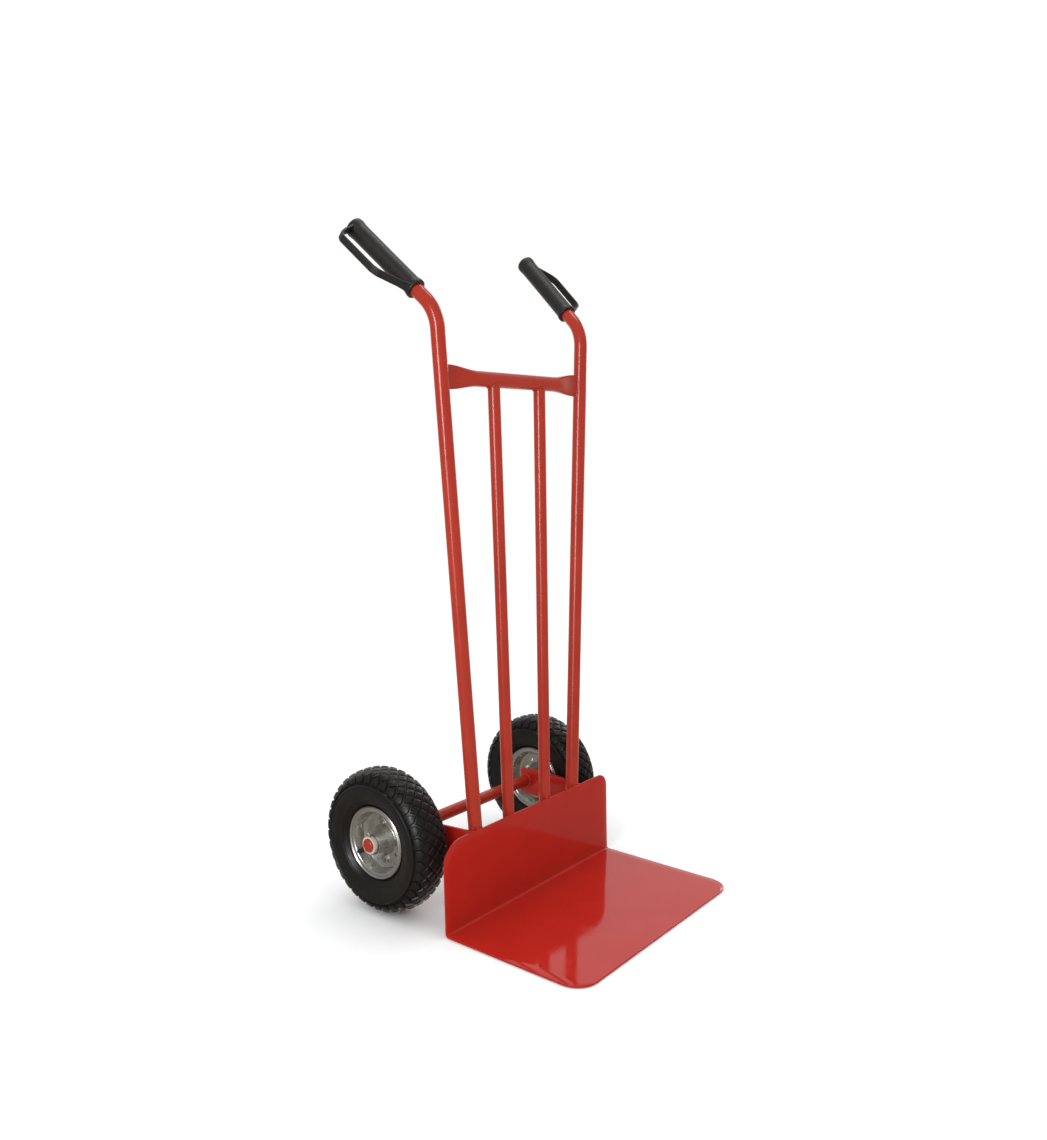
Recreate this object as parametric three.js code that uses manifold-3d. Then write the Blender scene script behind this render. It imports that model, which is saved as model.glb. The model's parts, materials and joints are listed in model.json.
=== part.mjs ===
// A two-wheeled hand truck: welded tube back, bent toe plate, fixed axle and two pneumatic wheels.
// Millimetres. X runs along the axle, -Y is the front (the toe plate), +Z is up from the floor.
// The origin is on the floor, under the middle of the whole truck.
import * as THREE from "three";
import { mergeVertices } from "three/addons/utils/BufferGeometryUtils.js";
import Module from "manifold-3d";

const wasm = await Module();
wasm.setup();

// ---------------------------------------------------------------- driving dimensions
const GAP = 0.3; // left between pieces that touch

// Toe plate: one sheet bent into a flat plate and an upright flange.
const SHEET = 3;
const PLATE_WIDTH = 488;
const PLATE_DEPTH = 282;
const FLANGE_HEIGHT = 163;
const BEND_RADIUS = 4; // inside
const PLATE_CORNER = 40;
const FLANGE_CORNER = { left: 44, right: 26 };
const CUT_THROUGH = 80; // length of a cutter that goes right through a sheet

// Back: all lengths along it are measured in a plane that leans back from the vertical.
const LEAN = deg(1.7);
const TUBE_RADIUS = 12.5;
const TUBE_WALL = 2;
const TUBE_FOOT = 8;
const TUBE_FOOT_X = 135.6;
const TUBE_SPREAD = 0.0655; // sideways per millimetre of height
const BEND_HEIGHT = 1051; // where the straight tube and the handle would meet
const HANDLE_BEND_RADIUS = 72;
const HANDLE_PITCH = deg(43.6);
const HANDLE_SPLAY = deg(10.4);
const HANDLE_LENGTH = 216;

const INNER_RADIUS = 11;
const INNER_WALL = 1.8;
const INNER_FOOT_X = 52.7;
const INNER_SPREAD = 0.0133;

const CROSSBAR_HEIGHT = 944.5;
const CROSSBAR_RADIUS = 13.5;
const CROSSBAR_WALL = 2;
const CROSSBAR_REACH = 188.5; // half length before it is coped to the uprights
const TAB_START = 178; // pressed flat from here to the end
const TAPER_START = 108;
const TAB_HALF_HEIGHT = 20.5;
const TAB_HALF_THICKNESS = 2.9;

// Grips: a closed sleeve with a knuckle guard on its outer side.
const GRIP_OFFSET = 51; // from the handle corner to the open end
const GRIP_LENGTH = 169;
const GRIP_RADIUS = 16.1;
const COLLAR_RADIUS = 18;
const GRIP_END_WALL = 3;
const COLLAR_LENGTH = 4;
const COLLAR_TAPER = 9;
const END_CHAMFER = 3;
const GUARD_REACH = 64;
const GUARD_WIDTH = 13;
const GUARD_THICKNESS = 4;
const GUARD_ROOT = 1.5; // from the handle's surface to the guard's middle line, at both its ends
// The guard's middle line: out from the handle, along it from the open end.
const GUARD_LINE = [
  [TUBE_RADIUS + GUARD_ROOT, 5],
  [24, 11],
  [GUARD_REACH - 5, 38],
  [GUARD_REACH, 48],
  [GUARD_REACH, 128],
  [GUARD_REACH - 6, 137],
  [38, 150],
  [TUBE_RADIUS + GUARD_ROOT, 160],
];

// Axle and its brackets.
const AXLE_RADIUS = 11.5;
const AXLE_Y = 163.5; // behind the foot of the flange
const AXLE_REACH = 271.5;
const AXLE_CHAMFER = 1;
const PIN_X = 264.8;
const PIN_WIRE = 1.15;
const PIN_EYE = 3.4;
const PIN_EYE_DROP = 19.6; // below the axle's middle
const PIN_LEG_SPREAD = 3.6;
const PIN_LEG_BEND = 16.5; // above the axle's middle
const PIN_LEG_TIP = 20.5;
const PIN_HOLE = 2.8;
const WASHER_RADIUS = 15.8;
const WASHER_THICKNESS = 2;
const RETAINER_LENGTH = 7.8;
const BRACKET_THICKNESS = 5;
const BRACKET_SPLAY = deg(8.7);
const BRACKET_X = 158.9; // inner face beside the upright
const BRACKET_FRONT = 11.6; // in front of the upright's middle
const BRACKET_KNEE = 104; // behind the upright's middle, where the level stretch ends
const BRACKET_REAR = 162;
const BRACKET_TOP = 160;
const BRACKET_BOTTOM = 109;
const BRACKET_DROP = 6.5; // from the front end to the rear end
const BRACKET_CORNER = 8;

// Wheels: 260 mm pneumatic tyre on a bolted two-piece pressed rim.
const TRACK = 452;
const WHEEL_RADIUS = 130;
const TYRE_HALF_WIDTH = 39;
const TYRE_MIDDLE = 93; // radius at the widest section
const TYRE_SQUARENESS = 2.6; // 2 is an ellipse
// The tyre from its widest section in to the bead, and back along the inside: [radius, level].
const TYRE_WALL = [[93, 39], [78, 35.5], [69, 27], [67.4, 24.3], [56.4, 21.4], [55, 11]];
const TYRE_INSIDE = [[64, 14], [80, 30.5], [95, 33.5], [113, 28.5], [123, 9]];
const HUB_HALF_LENGTH = 34;
const HUB_RADIUS = 17.4;
const RIM_SHEET = 2;
const RIM_DISC = 1.35; // middle of each rim half's sheet, from the wheel's mid plane
// The middle of a rim half's sheet: neck over the hub tube, disc, bowl, bead seat and lip.
const RIM_LINE = [
  [HUB_RADIUS + GAP + RIM_SHEET / 2, HUB_HALF_LENGTH - 1],
  [22.5, 8],
  [27, RIM_DISC],
  [46, RIM_DISC],
  [51.4, 5],
  [54, 21.2],
  [57.5, 24.6],
  [66, 26.4],
];
const HUB_BORE = 13;
const BEARING_RADIUS = 15.5;
const BEARING_WIDTH = 12;
const BOLT_CIRCLE = 35.5;
const BOLT_COUNT = 4;
const BOLT_RADIUS = 3.9;
const BOLT_HEX = 7.5;
const BOLT_HEAD = 5.3;
const NUT_HEIGHT = 6.5;
const BOLT_END = 3; // beyond the nut
const VENT_RADIUS = 3;
const AIR_TUBE_MIDDLE = 92;
const AIR_TUBE_RADIUS = 28;
const AIR_TUBE_WALL = 2;
const AIR_TUBE_SIDES = 6;
const VALVE_RADIUS = 3;
const VALVE_BORE = 1.4; // of its hole in the air tube
const STEM_BORE = 1;
const STEM_BEND = 5;
const VALVE_CIRCLE = 40;
const VALVE_LEVEL = 6.5; // along the wheel's axis, where the valve leaves the rim well
const VALVE_LENGTH = 16; // from that level to the cap
const VALVE_BEHIND_BOLT = 118; // degrees from the first bolt
const CAP_RADIUS = 4.4;
const CAP_LENGTH = 14;
const CAP_CHAMFER = 1.6;
const WHEEL_TURN = { left: -5, right: 12 }; // degrees from the top to the first bolt

const WHEEL_SIDES = 24;
const SMALL_SIDES = 12;

const MIDDLE_Y = (AXLE_Y + WHEEL_RADIUS - PLATE_DEPTH) / 2;
const WELD = 1e-3;

// ---------------------------------------------------------------- materials
function paint(color, roughness, metalness) {
  return () => new THREE.MeshStandardMaterial({ color, roughness, metalness });
}
const redTube = paint(0xc0321f, 0.3, 0.1);
const redSheet = paint(0xa8241a, 0.25, 0.1);
const blackPlastic = paint(0x302e2b, 0.6, 0);
const rubber = paint(0x1f1d1c, 0.85, 0);
const butyl = paint(0x161515, 0.7, 0);
const zinc = paint(0xb4b2ac, 0.35, 0.9);
const steel = paint(0x9a9a98, 0.4, 0.9);

// ---------------------------------------------------------------- helpers
function deg(angle) {
  return (angle * Math.PI) / 180;
}

function v3(x, y, z) {
  return new THREE.Vector3(x, y, z);
}

function named(name, geometry, material) {
  const mesh = new THREE.Mesh(geometry, material());
  mesh.name = name;
  return mesh;
}

function solidOf(geometry) {
  const bare = geometry.clone();
  bare.deleteAttribute("normal");
  bare.deleteAttribute("uv");
  const merged = mergeVertices(bare, WELD);
  return new wasm.Manifold(
    new wasm.Mesh({
      numProp: 3,
      vertProperties: merged.attributes.position.array,
      triVerts: Uint32Array.from(merged.index.array),
    }),
  );
}

function geometryOf(solid) {
  const { vertProperties, triVerts } = solid.getMesh();
  const geometry = new THREE.BufferGeometry();
  geometry.setAttribute("position", new THREE.BufferAttribute(vertProperties, 3));
  geometry.setIndex(new THREE.BufferAttribute(triVerts, 1));
  geometry.computeVertexNormals();
  return geometry;
}

function cut(geometry, ...cutters) {
  const start = solidOf(geometry);
  return geometryOf(cutters.reduce((solid, cutter) => solid.subtract(solidOf(cutter)), start));
}

function join(geometry, ...others) {
  const start = solidOf(geometry);
  return geometryOf(others.reduce((solid, other) => solid.add(solidOf(other)), start));
}

// A solid of revolution about Y from [radius, height] points that run anticlockwise.
function revolve(points, sides) {
  const outline = points.map(([r, h]) => new THREE.Vector2(r, h));
  if (points[0][0] > 0) outline.push(outline[0].clone());
  return new THREE.LatheGeometry(outline, sides);
}

function ring(inner, outer, low, high, sides = SMALL_SIDES) {
  const corners = [[inner, low], [outer, low], [outer, high], [inner, high]];
  return revolve(corners, sides);
}

// A round bar along Y.
function bar(radius, low, high, sides = SMALL_SIDES) {
  const rod = new THREE.CylinderGeometry(radius, radius, high - low, sides);
  return rod.translate(0, (low + high) / 2, 0);
}

// The closed outline of a sheet or strap of the given thickness along a line of [x, y] points.
function sheetOutline(line, thickness) {
  const points = line.map(([x, y]) => new THREE.Vector2(x, y));
  const offsets = points.map((point, i) => {
    const before = point.clone().sub(points[Math.max(i - 1, 0)]).normalize();
    const after = points[Math.min(i + 1, points.length - 1)].clone().sub(point).normalize();
    const along = before.add(after).normalize();
    const edge = i === 0 ? points[1].clone().sub(point) : point.clone().sub(points[i - 1]);
    const miter = Math.abs(along.dot(edge.normalize()));
    return new THREE.Vector2(-along.y, along.x).multiplyScalar(thickness / 2 / miter);
  });
  const right = points.map((point, i) => point.clone().sub(offsets[i]));
  const left = points.map((point, i) => point.clone().add(offsets[i])).reverse();
  return [...right, ...left].map((point) => [point.x, point.y]);
}

// A straight, bent, straight centre line that is sampled only where it bends.
class BentLine extends THREE.Curve {
  constructor(start, corner, end, radius, steps) {
    super();
    const from = corner.clone().sub(start).normalize();
    const to = end.clone().sub(corner).normalize();
    const turn = from.angleTo(to);
    const setback = radius * Math.tan(turn / 2);
    const inward = to.clone().addScaledVector(from, -from.dot(to)).normalize();
    const arcStart = corner.clone().addScaledVector(from, -setback);
    this.stations = [{ point: start, tangent: from }];
    for (let i = 0; i <= steps; i++) {
      const angle = (turn * i) / steps;
      const point = arcStart
        .clone()
        .addScaledVector(from, radius * Math.sin(angle))
        .addScaledVector(inward, radius * (1 - Math.cos(angle)));
      const tangent = from
        .clone()
        .multiplyScalar(Math.cos(angle))
        .addScaledVector(inward, Math.sin(angle));
      this.stations.push({ point, tangent });
    }
    this.stations.push({ point: end, tangent: to });
  }

  station(u) {
    return this.stations[Math.round(u * (this.stations.length - 1))];
  }

  getPointAt(u) {
    return this.station(u).point.clone();
  }

  getTangentAt(u) {
    return this.station(u).tangent.clone();
  }
}

function circle(radius, hole = 0) {
  const shape = new THREE.Shape();
  shape.absarc(0, 0, radius, 0, 2 * Math.PI);
  if (hole > 0) shape.holes.push(new THREE.Path().absarc(0, 0, hole, 0, 2 * Math.PI));
  return shape;
}

function sweep(section, path, sides, steps = path.stations.length - 1) {
  return new THREE.ExtrudeGeometry(section, {
    extrudePath: path,
    steps,
    curveSegments: sides / 2,
  });
}

function straightTube(from, to, radius, hole, sides) {
  return sweep(circle(radius, hole), new THREE.LineCurve3(from, to), sides, 1);
}

function shapeOf(points) {
  return new THREE.Shape(points.map(([x, y]) => new THREE.Vector2(x, y)));
}

// ---------------------------------------------------------------- toe plate
// The part of a square corner outside its rounding, with the corner at the origin.
function cornerCutter(radius) {
  const spare = 2; // beyond the edges that it cuts
  const shape = new THREE.Shape();
  shape.moveTo(-radius, 0);
  shape.absarc(-radius, -radius, radius, Math.PI / 2, 0, true);
  shape.lineTo(spare, -radius);
  shape.lineTo(spare, spare);
  shape.lineTo(-radius, spare);
  const cutter = new THREE.ExtrudeGeometry(shape, {
    depth: CUT_THROUGH,
    bevelEnabled: false,
    curveSegments: 8,
  });
  return cutter.translate(0, 0, -CUT_THROUGH / 2);
}

function toePlate() {
  const centreZ = SHEET + BEND_RADIUS;
  const centreY = (centreZ * Math.sin(LEAN) - BEND_RADIUS) / Math.cos(LEAN);
  const up = new THREE.Vector2(Math.sin(LEAN), Math.cos(LEAN));
  const back = new THREE.Vector2(Math.cos(LEAN), -Math.sin(LEAN));
  const front = up.clone().multiplyScalar(FLANGE_HEIGHT);
  const rear = front.clone().addScaledVector(back, SHEET);
  const profile = new THREE.Shape();
  profile.moveTo(-PLATE_DEPTH, 0);
  profile.lineTo(centreY, 0);
  profile.absarc(centreY, centreZ, BEND_RADIUS + SHEET, -Math.PI / 2, -LEAN);
  profile.lineTo(rear.x, rear.y);
  profile.lineTo(front.x, front.y);
  profile.absarc(centreY, centreZ, BEND_RADIUS, -LEAN, -Math.PI / 2, true);
  profile.lineTo(-PLATE_DEPTH, SHEET);
  const sheet = new THREE.ExtrudeGeometry(profile, {
    depth: PLATE_WIDTH,
    bevelEnabled: false,
    curveSegments: 5,
  });
  sheet.translate(0, 0, -PLATE_WIDTH / 2);
  sheet.applyMatrix4(new THREE.Matrix4().makeBasis(v3(0, 1, 0), v3(0, 0, 1), v3(1, 0, 0)));
  const cutters = ["left", "right"].flatMap((name) => {
    const side = name === "left" ? -1 : 1;
    const plateCorner = cornerCutter(PLATE_CORNER).applyMatrix4(
      side > 0
        ? new THREE.Matrix4().makeBasis(v3(0, -1, 0), v3(1, 0, 0), v3(0, 0, 1))
        : new THREE.Matrix4().makeBasis(v3(-1, 0, 0), v3(0, -1, 0), v3(0, 0, 1)),
    );
    plateCorner.translate((side * PLATE_WIDTH) / 2, -PLATE_DEPTH, 0);
    const flangeCorner = cornerCutter(FLANGE_CORNER[name]).applyMatrix4(
      side > 0
        ? new THREE.Matrix4().makeBasis(v3(1, 0, 0), v3(0, 0, 1), v3(0, -1, 0))
        : new THREE.Matrix4().makeBasis(v3(0, 0, 1), v3(-1, 0, 0), v3(0, -1, 0)),
    );
    flangeCorner.rotateX(-LEAN);
    flangeCorner.translate((side * PLATE_WIDTH) / 2, front.x, front.y);
    return [plateCorner, flangeCorner];
  });
  return cut(sheet, ...cutters);
}

// ---------------------------------------------------------------- back, in its leaning plane
const TUBE_Y = SHEET + GAP + TUBE_RADIUS;
const INNER_Y = SHEET + GAP + INNER_RADIUS;

function uprightAt(height) {
  return v3(TUBE_FOOT_X + TUBE_SPREAD * (height - TUBE_FOOT), TUBE_Y, height);
}

function innerAt(height) {
  return v3(INNER_FOOT_X + INNER_SPREAD * (height - TUBE_FOOT), INNER_Y, height);
}

const HANDLE_CORNER = uprightAt(BEND_HEIGHT);
const HANDLE_DIRECTION = v3(
  Math.cos(HANDLE_PITCH) * Math.sin(HANDLE_SPLAY),
  Math.cos(HANDLE_PITCH) * Math.cos(HANDLE_SPLAY),
  Math.sin(HANDLE_PITCH),
);

function upright() {
  const end = HANDLE_CORNER.clone().addScaledVector(HANDLE_DIRECTION, HANDLE_LENGTH);
  const line = new BentLine(uprightAt(TUBE_FOOT), HANDLE_CORNER, end, HANDLE_BEND_RADIUS, 6);
  return sweep(circle(TUBE_RADIUS, TUBE_RADIUS - TUBE_WALL), line, 14);
}

function innerUpright() {
  const tube = straightTube(
    innerAt(TUBE_FOOT),
    innerAt(CROSSBAR_HEIGHT),
    INNER_RADIUS,
    INNER_RADIUS - INNER_WALL,
    12,
  );
  const cope = bar(CROSSBAR_RADIUS + GAP, -PLATE_WIDTH / 2, PLATE_WIDTH / 2, 28);
  cope.rotateZ(Math.PI / 2).translate(0, TUBE_Y, CROSSBAR_HEIGHT);
  return cut(tube, cope);
}

// A round tube whose two ends are pressed into upright tabs and coped to the uprights.
function crossbar() {
  const taper = [0, 0.25, 0.5, 0.75, 1].map((t) => TAPER_START + t * (TAB_START - TAPER_START));
  const half = [...taper, CROSSBAR_REACH];
  const stations = [...half.map((x) => -x).reverse(), ...half];
  const steps = stations.length - 1;
  const tube = new THREE.ExtrudeGeometry(circle(CROSSBAR_RADIUS, CROSSBAR_RADIUS - CROSSBAR_WALL), {
    depth: steps,
    steps,
    bevelEnabled: false,
    curveSegments: 8,
  });
  const place = tube.attributes.position;
  for (let i = 0; i < place.count; i++) {
    const radius = Math.hypot(place.getX(i), place.getY(i));
    const depth = radius - CROSSBAR_RADIUS;
    const x = stations[Math.round(place.getZ(i))];
    const flat = THREE.MathUtils.smoothstep(Math.abs(x), TAPER_START, TAB_START);
    const squeezed = TAB_HALF_THICKNESS + depth;
    const spread = TAB_HALF_HEIGHT + depth;
    const y = (place.getX(i) / radius) * THREE.MathUtils.lerp(radius, squeezed, flat);
    const z = (place.getY(i) / radius) * THREE.MathUtils.lerp(radius, spread, flat);
    place.setXYZ(i, x, y, z);
  }
  tube.translate(0, TUBE_Y, CROSSBAR_HEIGHT);
  const low = uprightAt(CROSSBAR_HEIGHT - CUT_THROUGH);
  const high = uprightAt(CROSSBAR_HEIGHT + CUT_THROUGH);
  const cope = straightTube(low, high, TUBE_RADIUS + GAP, 0, 14);
  return cut(tube, cope, cope.clone().rotateZ(Math.PI).translate(0, 2 * TUBE_Y, 0));
}

// The grip's own Y runs along the handle from the open end, and its X points outboard.
function grip() {
  const bore = TUBE_RADIUS + GAP;
  const inside = GRIP_LENGTH - GRIP_END_WALL;
  const sleeve = revolve(
    [
      [0, inside],
      [bore, inside],
      [bore, 0],
      [COLLAR_RADIUS, 0],
      [COLLAR_RADIUS, COLLAR_LENGTH],
      [GRIP_RADIUS, COLLAR_LENGTH + COLLAR_TAPER],
      [GRIP_RADIUS, GRIP_LENGTH - END_CHAMFER - COLLAR_LENGTH - COLLAR_TAPER],
      [COLLAR_RADIUS, GRIP_LENGTH - END_CHAMFER - COLLAR_LENGTH],
      [COLLAR_RADIUS, GRIP_LENGTH - END_CHAMFER],
      [COLLAR_RADIUS - END_CHAMFER, GRIP_LENGTH],
      [0, GRIP_LENGTH],
    ],
    14,
  );
  const strap = new THREE.ExtrudeGeometry(shapeOf(sheetOutline(GUARD_LINE, GUARD_THICKNESS)), {
    depth: GUARD_WIDTH,
    bevelEnabled: false,
  });
  strap.translate(0, 0, -GUARD_WIDTH / 2);
  const core = bar(bore, -1, inside, 14);
  return join(sleeve, cut(strap, core));
}

function placeGrip(mesh) {
  const outward = v3(1, 0, 0).addScaledVector(HANDLE_DIRECTION, -HANDLE_DIRECTION.x).normalize();
  const across = outward.clone().cross(HANDLE_DIRECTION);
  const basis = new THREE.Matrix4().makeBasis(outward, HANDLE_DIRECTION, across);
  mesh.quaternion.setFromRotationMatrix(basis);
  mesh.position.copy(HANDLE_CORNER).addScaledVector(HANDLE_DIRECTION, GRIP_OFFSET);
  return mesh;
}

// ---------------------------------------------------------------- axle group
function alongX(geometry) {
  return geometry.rotateZ(-Math.PI / 2);
}

function axle() {
  const rod = alongX(
    revolve(
      [
        [0, -AXLE_REACH],
        [AXLE_RADIUS - AXLE_CHAMFER, -AXLE_REACH],
        [AXLE_RADIUS, AXLE_CHAMFER - AXLE_REACH],
        [AXLE_RADIUS, AXLE_REACH - AXLE_CHAMFER],
        [AXLE_RADIUS - AXLE_CHAMFER, AXLE_REACH],
        [0, AXLE_REACH],
      ],
      SMALL_SIDES,
    ),
  );
  const holes = [-PIN_X, PIN_X].map((x) =>
    bar(PIN_HOLE, -2 * AXLE_RADIUS, 2 * AXLE_RADIUS, 8).rotateX(Math.PI / 2).translate(x, 0, 0),
  );
  return cut(rod, ...holes);
}

// A flat bar on edge, from the back of the flange past the axle, splayed out towards the wheel.
function bracket() {
  const rearTop = BRACKET_TOP - BRACKET_DROP;
  const rearBottom = BRACKET_BOTTOM - BRACKET_DROP;
  const outline = new THREE.Shape();
  outline.moveTo(-BRACKET_FRONT, BRACKET_BOTTOM);
  outline.lineTo(BRACKET_KNEE, rearBottom);
  outline.lineTo(BRACKET_REAR - BRACKET_CORNER, rearBottom);
  outline.quadraticCurveTo(BRACKET_REAR, rearBottom, BRACKET_REAR, rearBottom + BRACKET_CORNER);
  outline.lineTo(BRACKET_REAR, rearTop - BRACKET_CORNER);
  outline.quadraticCurveTo(BRACKET_REAR, rearTop, BRACKET_REAR - BRACKET_CORNER, rearTop);
  outline.lineTo(BRACKET_KNEE, BRACKET_TOP);
  outline.lineTo(-BRACKET_FRONT, BRACKET_TOP);
  const plate = new THREE.ExtrudeGeometry(outline, {
    depth: BRACKET_THICKNESS,
    bevelEnabled: false,
    curveSegments: 3,
  });
  const along = v3(Math.sin(BRACKET_SPLAY), Math.cos(BRACKET_SPLAY), 0);
  const outward = v3(Math.cos(BRACKET_SPLAY), -Math.sin(BRACKET_SPLAY), 0);
  plate.applyMatrix4(new THREE.Matrix4().makeBasis(along, v3(0, 0, 1), outward));
  const besideTube = TUBE_Y * Math.cos(LEAN) + BRACKET_TOP * Math.sin(LEAN);
  plate.translate(BRACKET_X, besideTube, 0);
  const hole = alongX(bar(AXLE_RADIUS + 2 * GAP, 0, TRACK / 2)).translate(0, AXLE_Y, WHEEL_RADIUS);
  return cut(plate, hole);
}

function washer() {
  return ring(AXLE_RADIUS + 2 * GAP, WASHER_RADIUS, 0, WASHER_THICKNESS);
}

// A collar outside the wheel, drilled through for the split pin.
function retainer(pinLevel) {
  const body = alongX(ring(AXLE_RADIUS + 2 * GAP, WASHER_RADIUS, 0, RETAINER_LENGTH));
  const hole = bar(PIN_HOLE, -2 * WASHER_RADIUS, 2 * WASHER_RADIUS, 8);
  return cut(body, hole.rotateX(Math.PI / 2).translate(pinLevel, 0, 0));
}

// A split pin in the YZ plane: an eye below the axle and two legs up through it, spread at the tips.
function splitPin() {
  const leg = PIN_WIRE + 0.1;
  const opening = Math.asin(leg / PIN_EYE);
  const points = [v3(0, PIN_LEG_SPREAD, PIN_LEG_TIP), v3(0, leg, PIN_LEG_BEND)];
  const turns = 12;
  for (let i = 0; i <= turns; i++) {
    const angle = Math.PI / 2 - opening - ((2 * Math.PI - 2 * opening) * i) / turns;
    const z = PIN_EYE * Math.sin(angle) - PIN_EYE_DROP;
    points.push(v3(0, PIN_EYE * Math.cos(angle), z));
  }
  points.push(v3(0, -leg, PIN_LEG_BEND), v3(0, -PIN_LEG_SPREAD, PIN_LEG_TIP));
  return sweep(circle(PIN_WIRE), polyline(points), 6);
}

// A path through the given points, each a station, with its tangent along the run past it.
function polyline(points) {
  const last = points.length - 1;
  const path = new THREE.Curve();
  path.stations = points;
  path.getPointAt = (u) => points[Math.round(u * last)].clone();
  path.getTangentAt = (u) => {
    const i = Math.round(u * last);
    const ahead = points[Math.min(i + 1, last)];
    const behind = points[Math.max(i - 1, 0)];
    return ahead.clone().sub(behind).normalize();
  };
  return path;
}

// ---------------------------------------------------------------- wheel, about its own Y axis
// +Y is outboard. An angle is measured from the top.
function around(radius, height, angle) {
  const turn = deg(angle);
  return v3(radius * Math.sin(turn), height, radius * Math.cos(turn));
}

function mirrored(points) {
  return [...points].reverse().map(([r, h]) => [r, -h]);
}

function tyre() {
  const round = (angle) => {
    const power = 2 / TYRE_SQUARENESS;
    const rise = (WHEEL_RADIUS - TYRE_MIDDLE) * Math.sin(deg(angle)) ** power;
    return [TYRE_MIDDLE + rise, TYRE_HALF_WIDTH * Math.cos(deg(angle)) ** power];
  };
  const outside = [...[62, 28].map(round), ...TYRE_WALL];
  const section = [...mirrored(outside), [WHEEL_RADIUS, 0], ...outside, ...TYRE_INSIDE];
  return revolve([...section, ...mirrored(TYRE_INSIDE)], WHEEL_SIDES);
}

// A hollow ring that fills the tyre. Its only opening is the bore of the valve.
function airTube(valveAngle) {
  const section = (half) =>
    Array.from({ length: AIR_TUBE_SIDES }, (_, i) => {
      const angle = (2 * Math.PI * i) / AIR_TUBE_SIDES;
      return [AIR_TUBE_MIDDLE + half * Math.cos(angle), half * Math.sin(angle)];
    });
  const reach = AIR_TUBE_MIDDLE - AIR_TUBE_RADIUS / 2;
  const bore = bar(VALVE_BORE, VALVE_CIRCLE, reach, 6);
  bore.rotateX(Math.PI / 2).rotateY(deg(valveAngle));
  return cut(
    revolve(section(AIR_TUBE_RADIUS), WHEEL_SIDES),
    revolve(section(AIR_TUBE_RADIUS - AIR_TUBE_WALL), WHEEL_SIDES),
    bore.translate(0, VALVE_LEVEL, 0),
  );
}

// One pressed half, with its bolt holes, vents and, where it has a valve, the valve's hole.
function rimHalf(turn, valveAngle) {
  const half = revolve(sheetOutline(RIM_LINE, RIM_SHEET), WHEEL_SIDES);
  const holes = [];
  for (let i = 0; i < BOLT_COUNT; i++) {
    const step = (360 / BOLT_COUNT) * i + turn;
    const bolt = around(BOLT_CIRCLE, 0, step);
    const vent = around(BOLT_CIRCLE, 0, step + 180 / BOLT_COUNT);
    const low = RIM_DISC - RIM_SHEET;
    const high = RIM_DISC + RIM_SHEET;
    holes.push(bar(BOLT_RADIUS + 2 * GAP, low, high, 8).translate(bolt.x, 0, bolt.z));
    holes.push(bar(VENT_RADIUS, low, high, 8).translate(vent.x, 0, vent.z));
  }
  if (valveAngle !== undefined) {
    const hole = bar(VALVE_RADIUS + 2 * GAP, VALVE_CIRCLE, AIR_TUBE_MIDDLE - AIR_TUBE_RADIUS, 8);
    hole.rotateX(Math.PI / 2).rotateY(deg(valveAngle)).translate(0, VALVE_LEVEL, 0);
    holes.push(hole);
  }
  return cut(half, ...holes);
}

function hubTube() {
  const seat = BEARING_RADIUS + GAP;
  const depth = HUB_HALF_LENGTH - BEARING_WIDTH - GAP;
  const end = HUB_HALF_LENGTH;
  return revolve(
    [
      [seat, -end],
      [HUB_RADIUS, -end],
      [HUB_RADIUS, end],
      [seat, end],
      [seat, depth],
      [HUB_BORE, depth],
      [HUB_BORE, -depth],
      [seat, -depth],
    ],
    SMALL_SIDES,
  );
}

function bearing() {
  return ring(AXLE_RADIUS + 2 * GAP, BEARING_RADIUS, HUB_HALF_LENGTH - BEARING_WIDTH, HUB_HALF_LENGTH);
}

function rimBolt() {
  const face = RIM_DISC + RIM_SHEET / 2 + GAP;
  const head = bar(BOLT_HEX, face, face + BOLT_HEAD, 6);
  return join(head, bar(BOLT_RADIUS, -face - NUT_HEIGHT - BOLT_END, face + 1, 8));
}

function rimNut() {
  const face = RIM_DISC + RIM_SHEET / 2 + GAP;
  const hole = bar(BOLT_RADIUS + 2 * GAP, -face - 2 * NUT_HEIGHT, 0, 8);
  return cut(bar(BOLT_HEX, -face - NUT_HEIGHT, -face, 6), hole);
}

// A bent valve: in from the air tube through the rim well, then outboard beside the hub.
function valveStem() {
  const inner = v3(0, VALVE_LEVEL, AIR_TUBE_MIDDLE - AIR_TUBE_RADIUS - 2 * GAP);
  const corner = v3(0, VALVE_LEVEL, VALVE_CIRCLE);
  const tip = v3(0, VALVE_LEVEL + VALVE_LENGTH, VALVE_CIRCLE);
  return sweep(circle(VALVE_RADIUS, STEM_BORE), new BentLine(inner, corner, tip, STEM_BEND, 3), 8);
}

function valveCap() {
  const low = VALVE_LEVEL + VALVE_LENGTH + GAP;
  const cap = revolve(
    [
      [0, low],
      [CAP_RADIUS, low],
      [CAP_RADIUS, low + CAP_LENGTH - CAP_CHAMFER],
      [CAP_RADIUS - CAP_CHAMFER, low + CAP_LENGTH],
      [0, low + CAP_LENGTH],
    ],
    10,
  );
  return cap.translate(0, 0, VALVE_CIRCLE);
}

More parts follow.
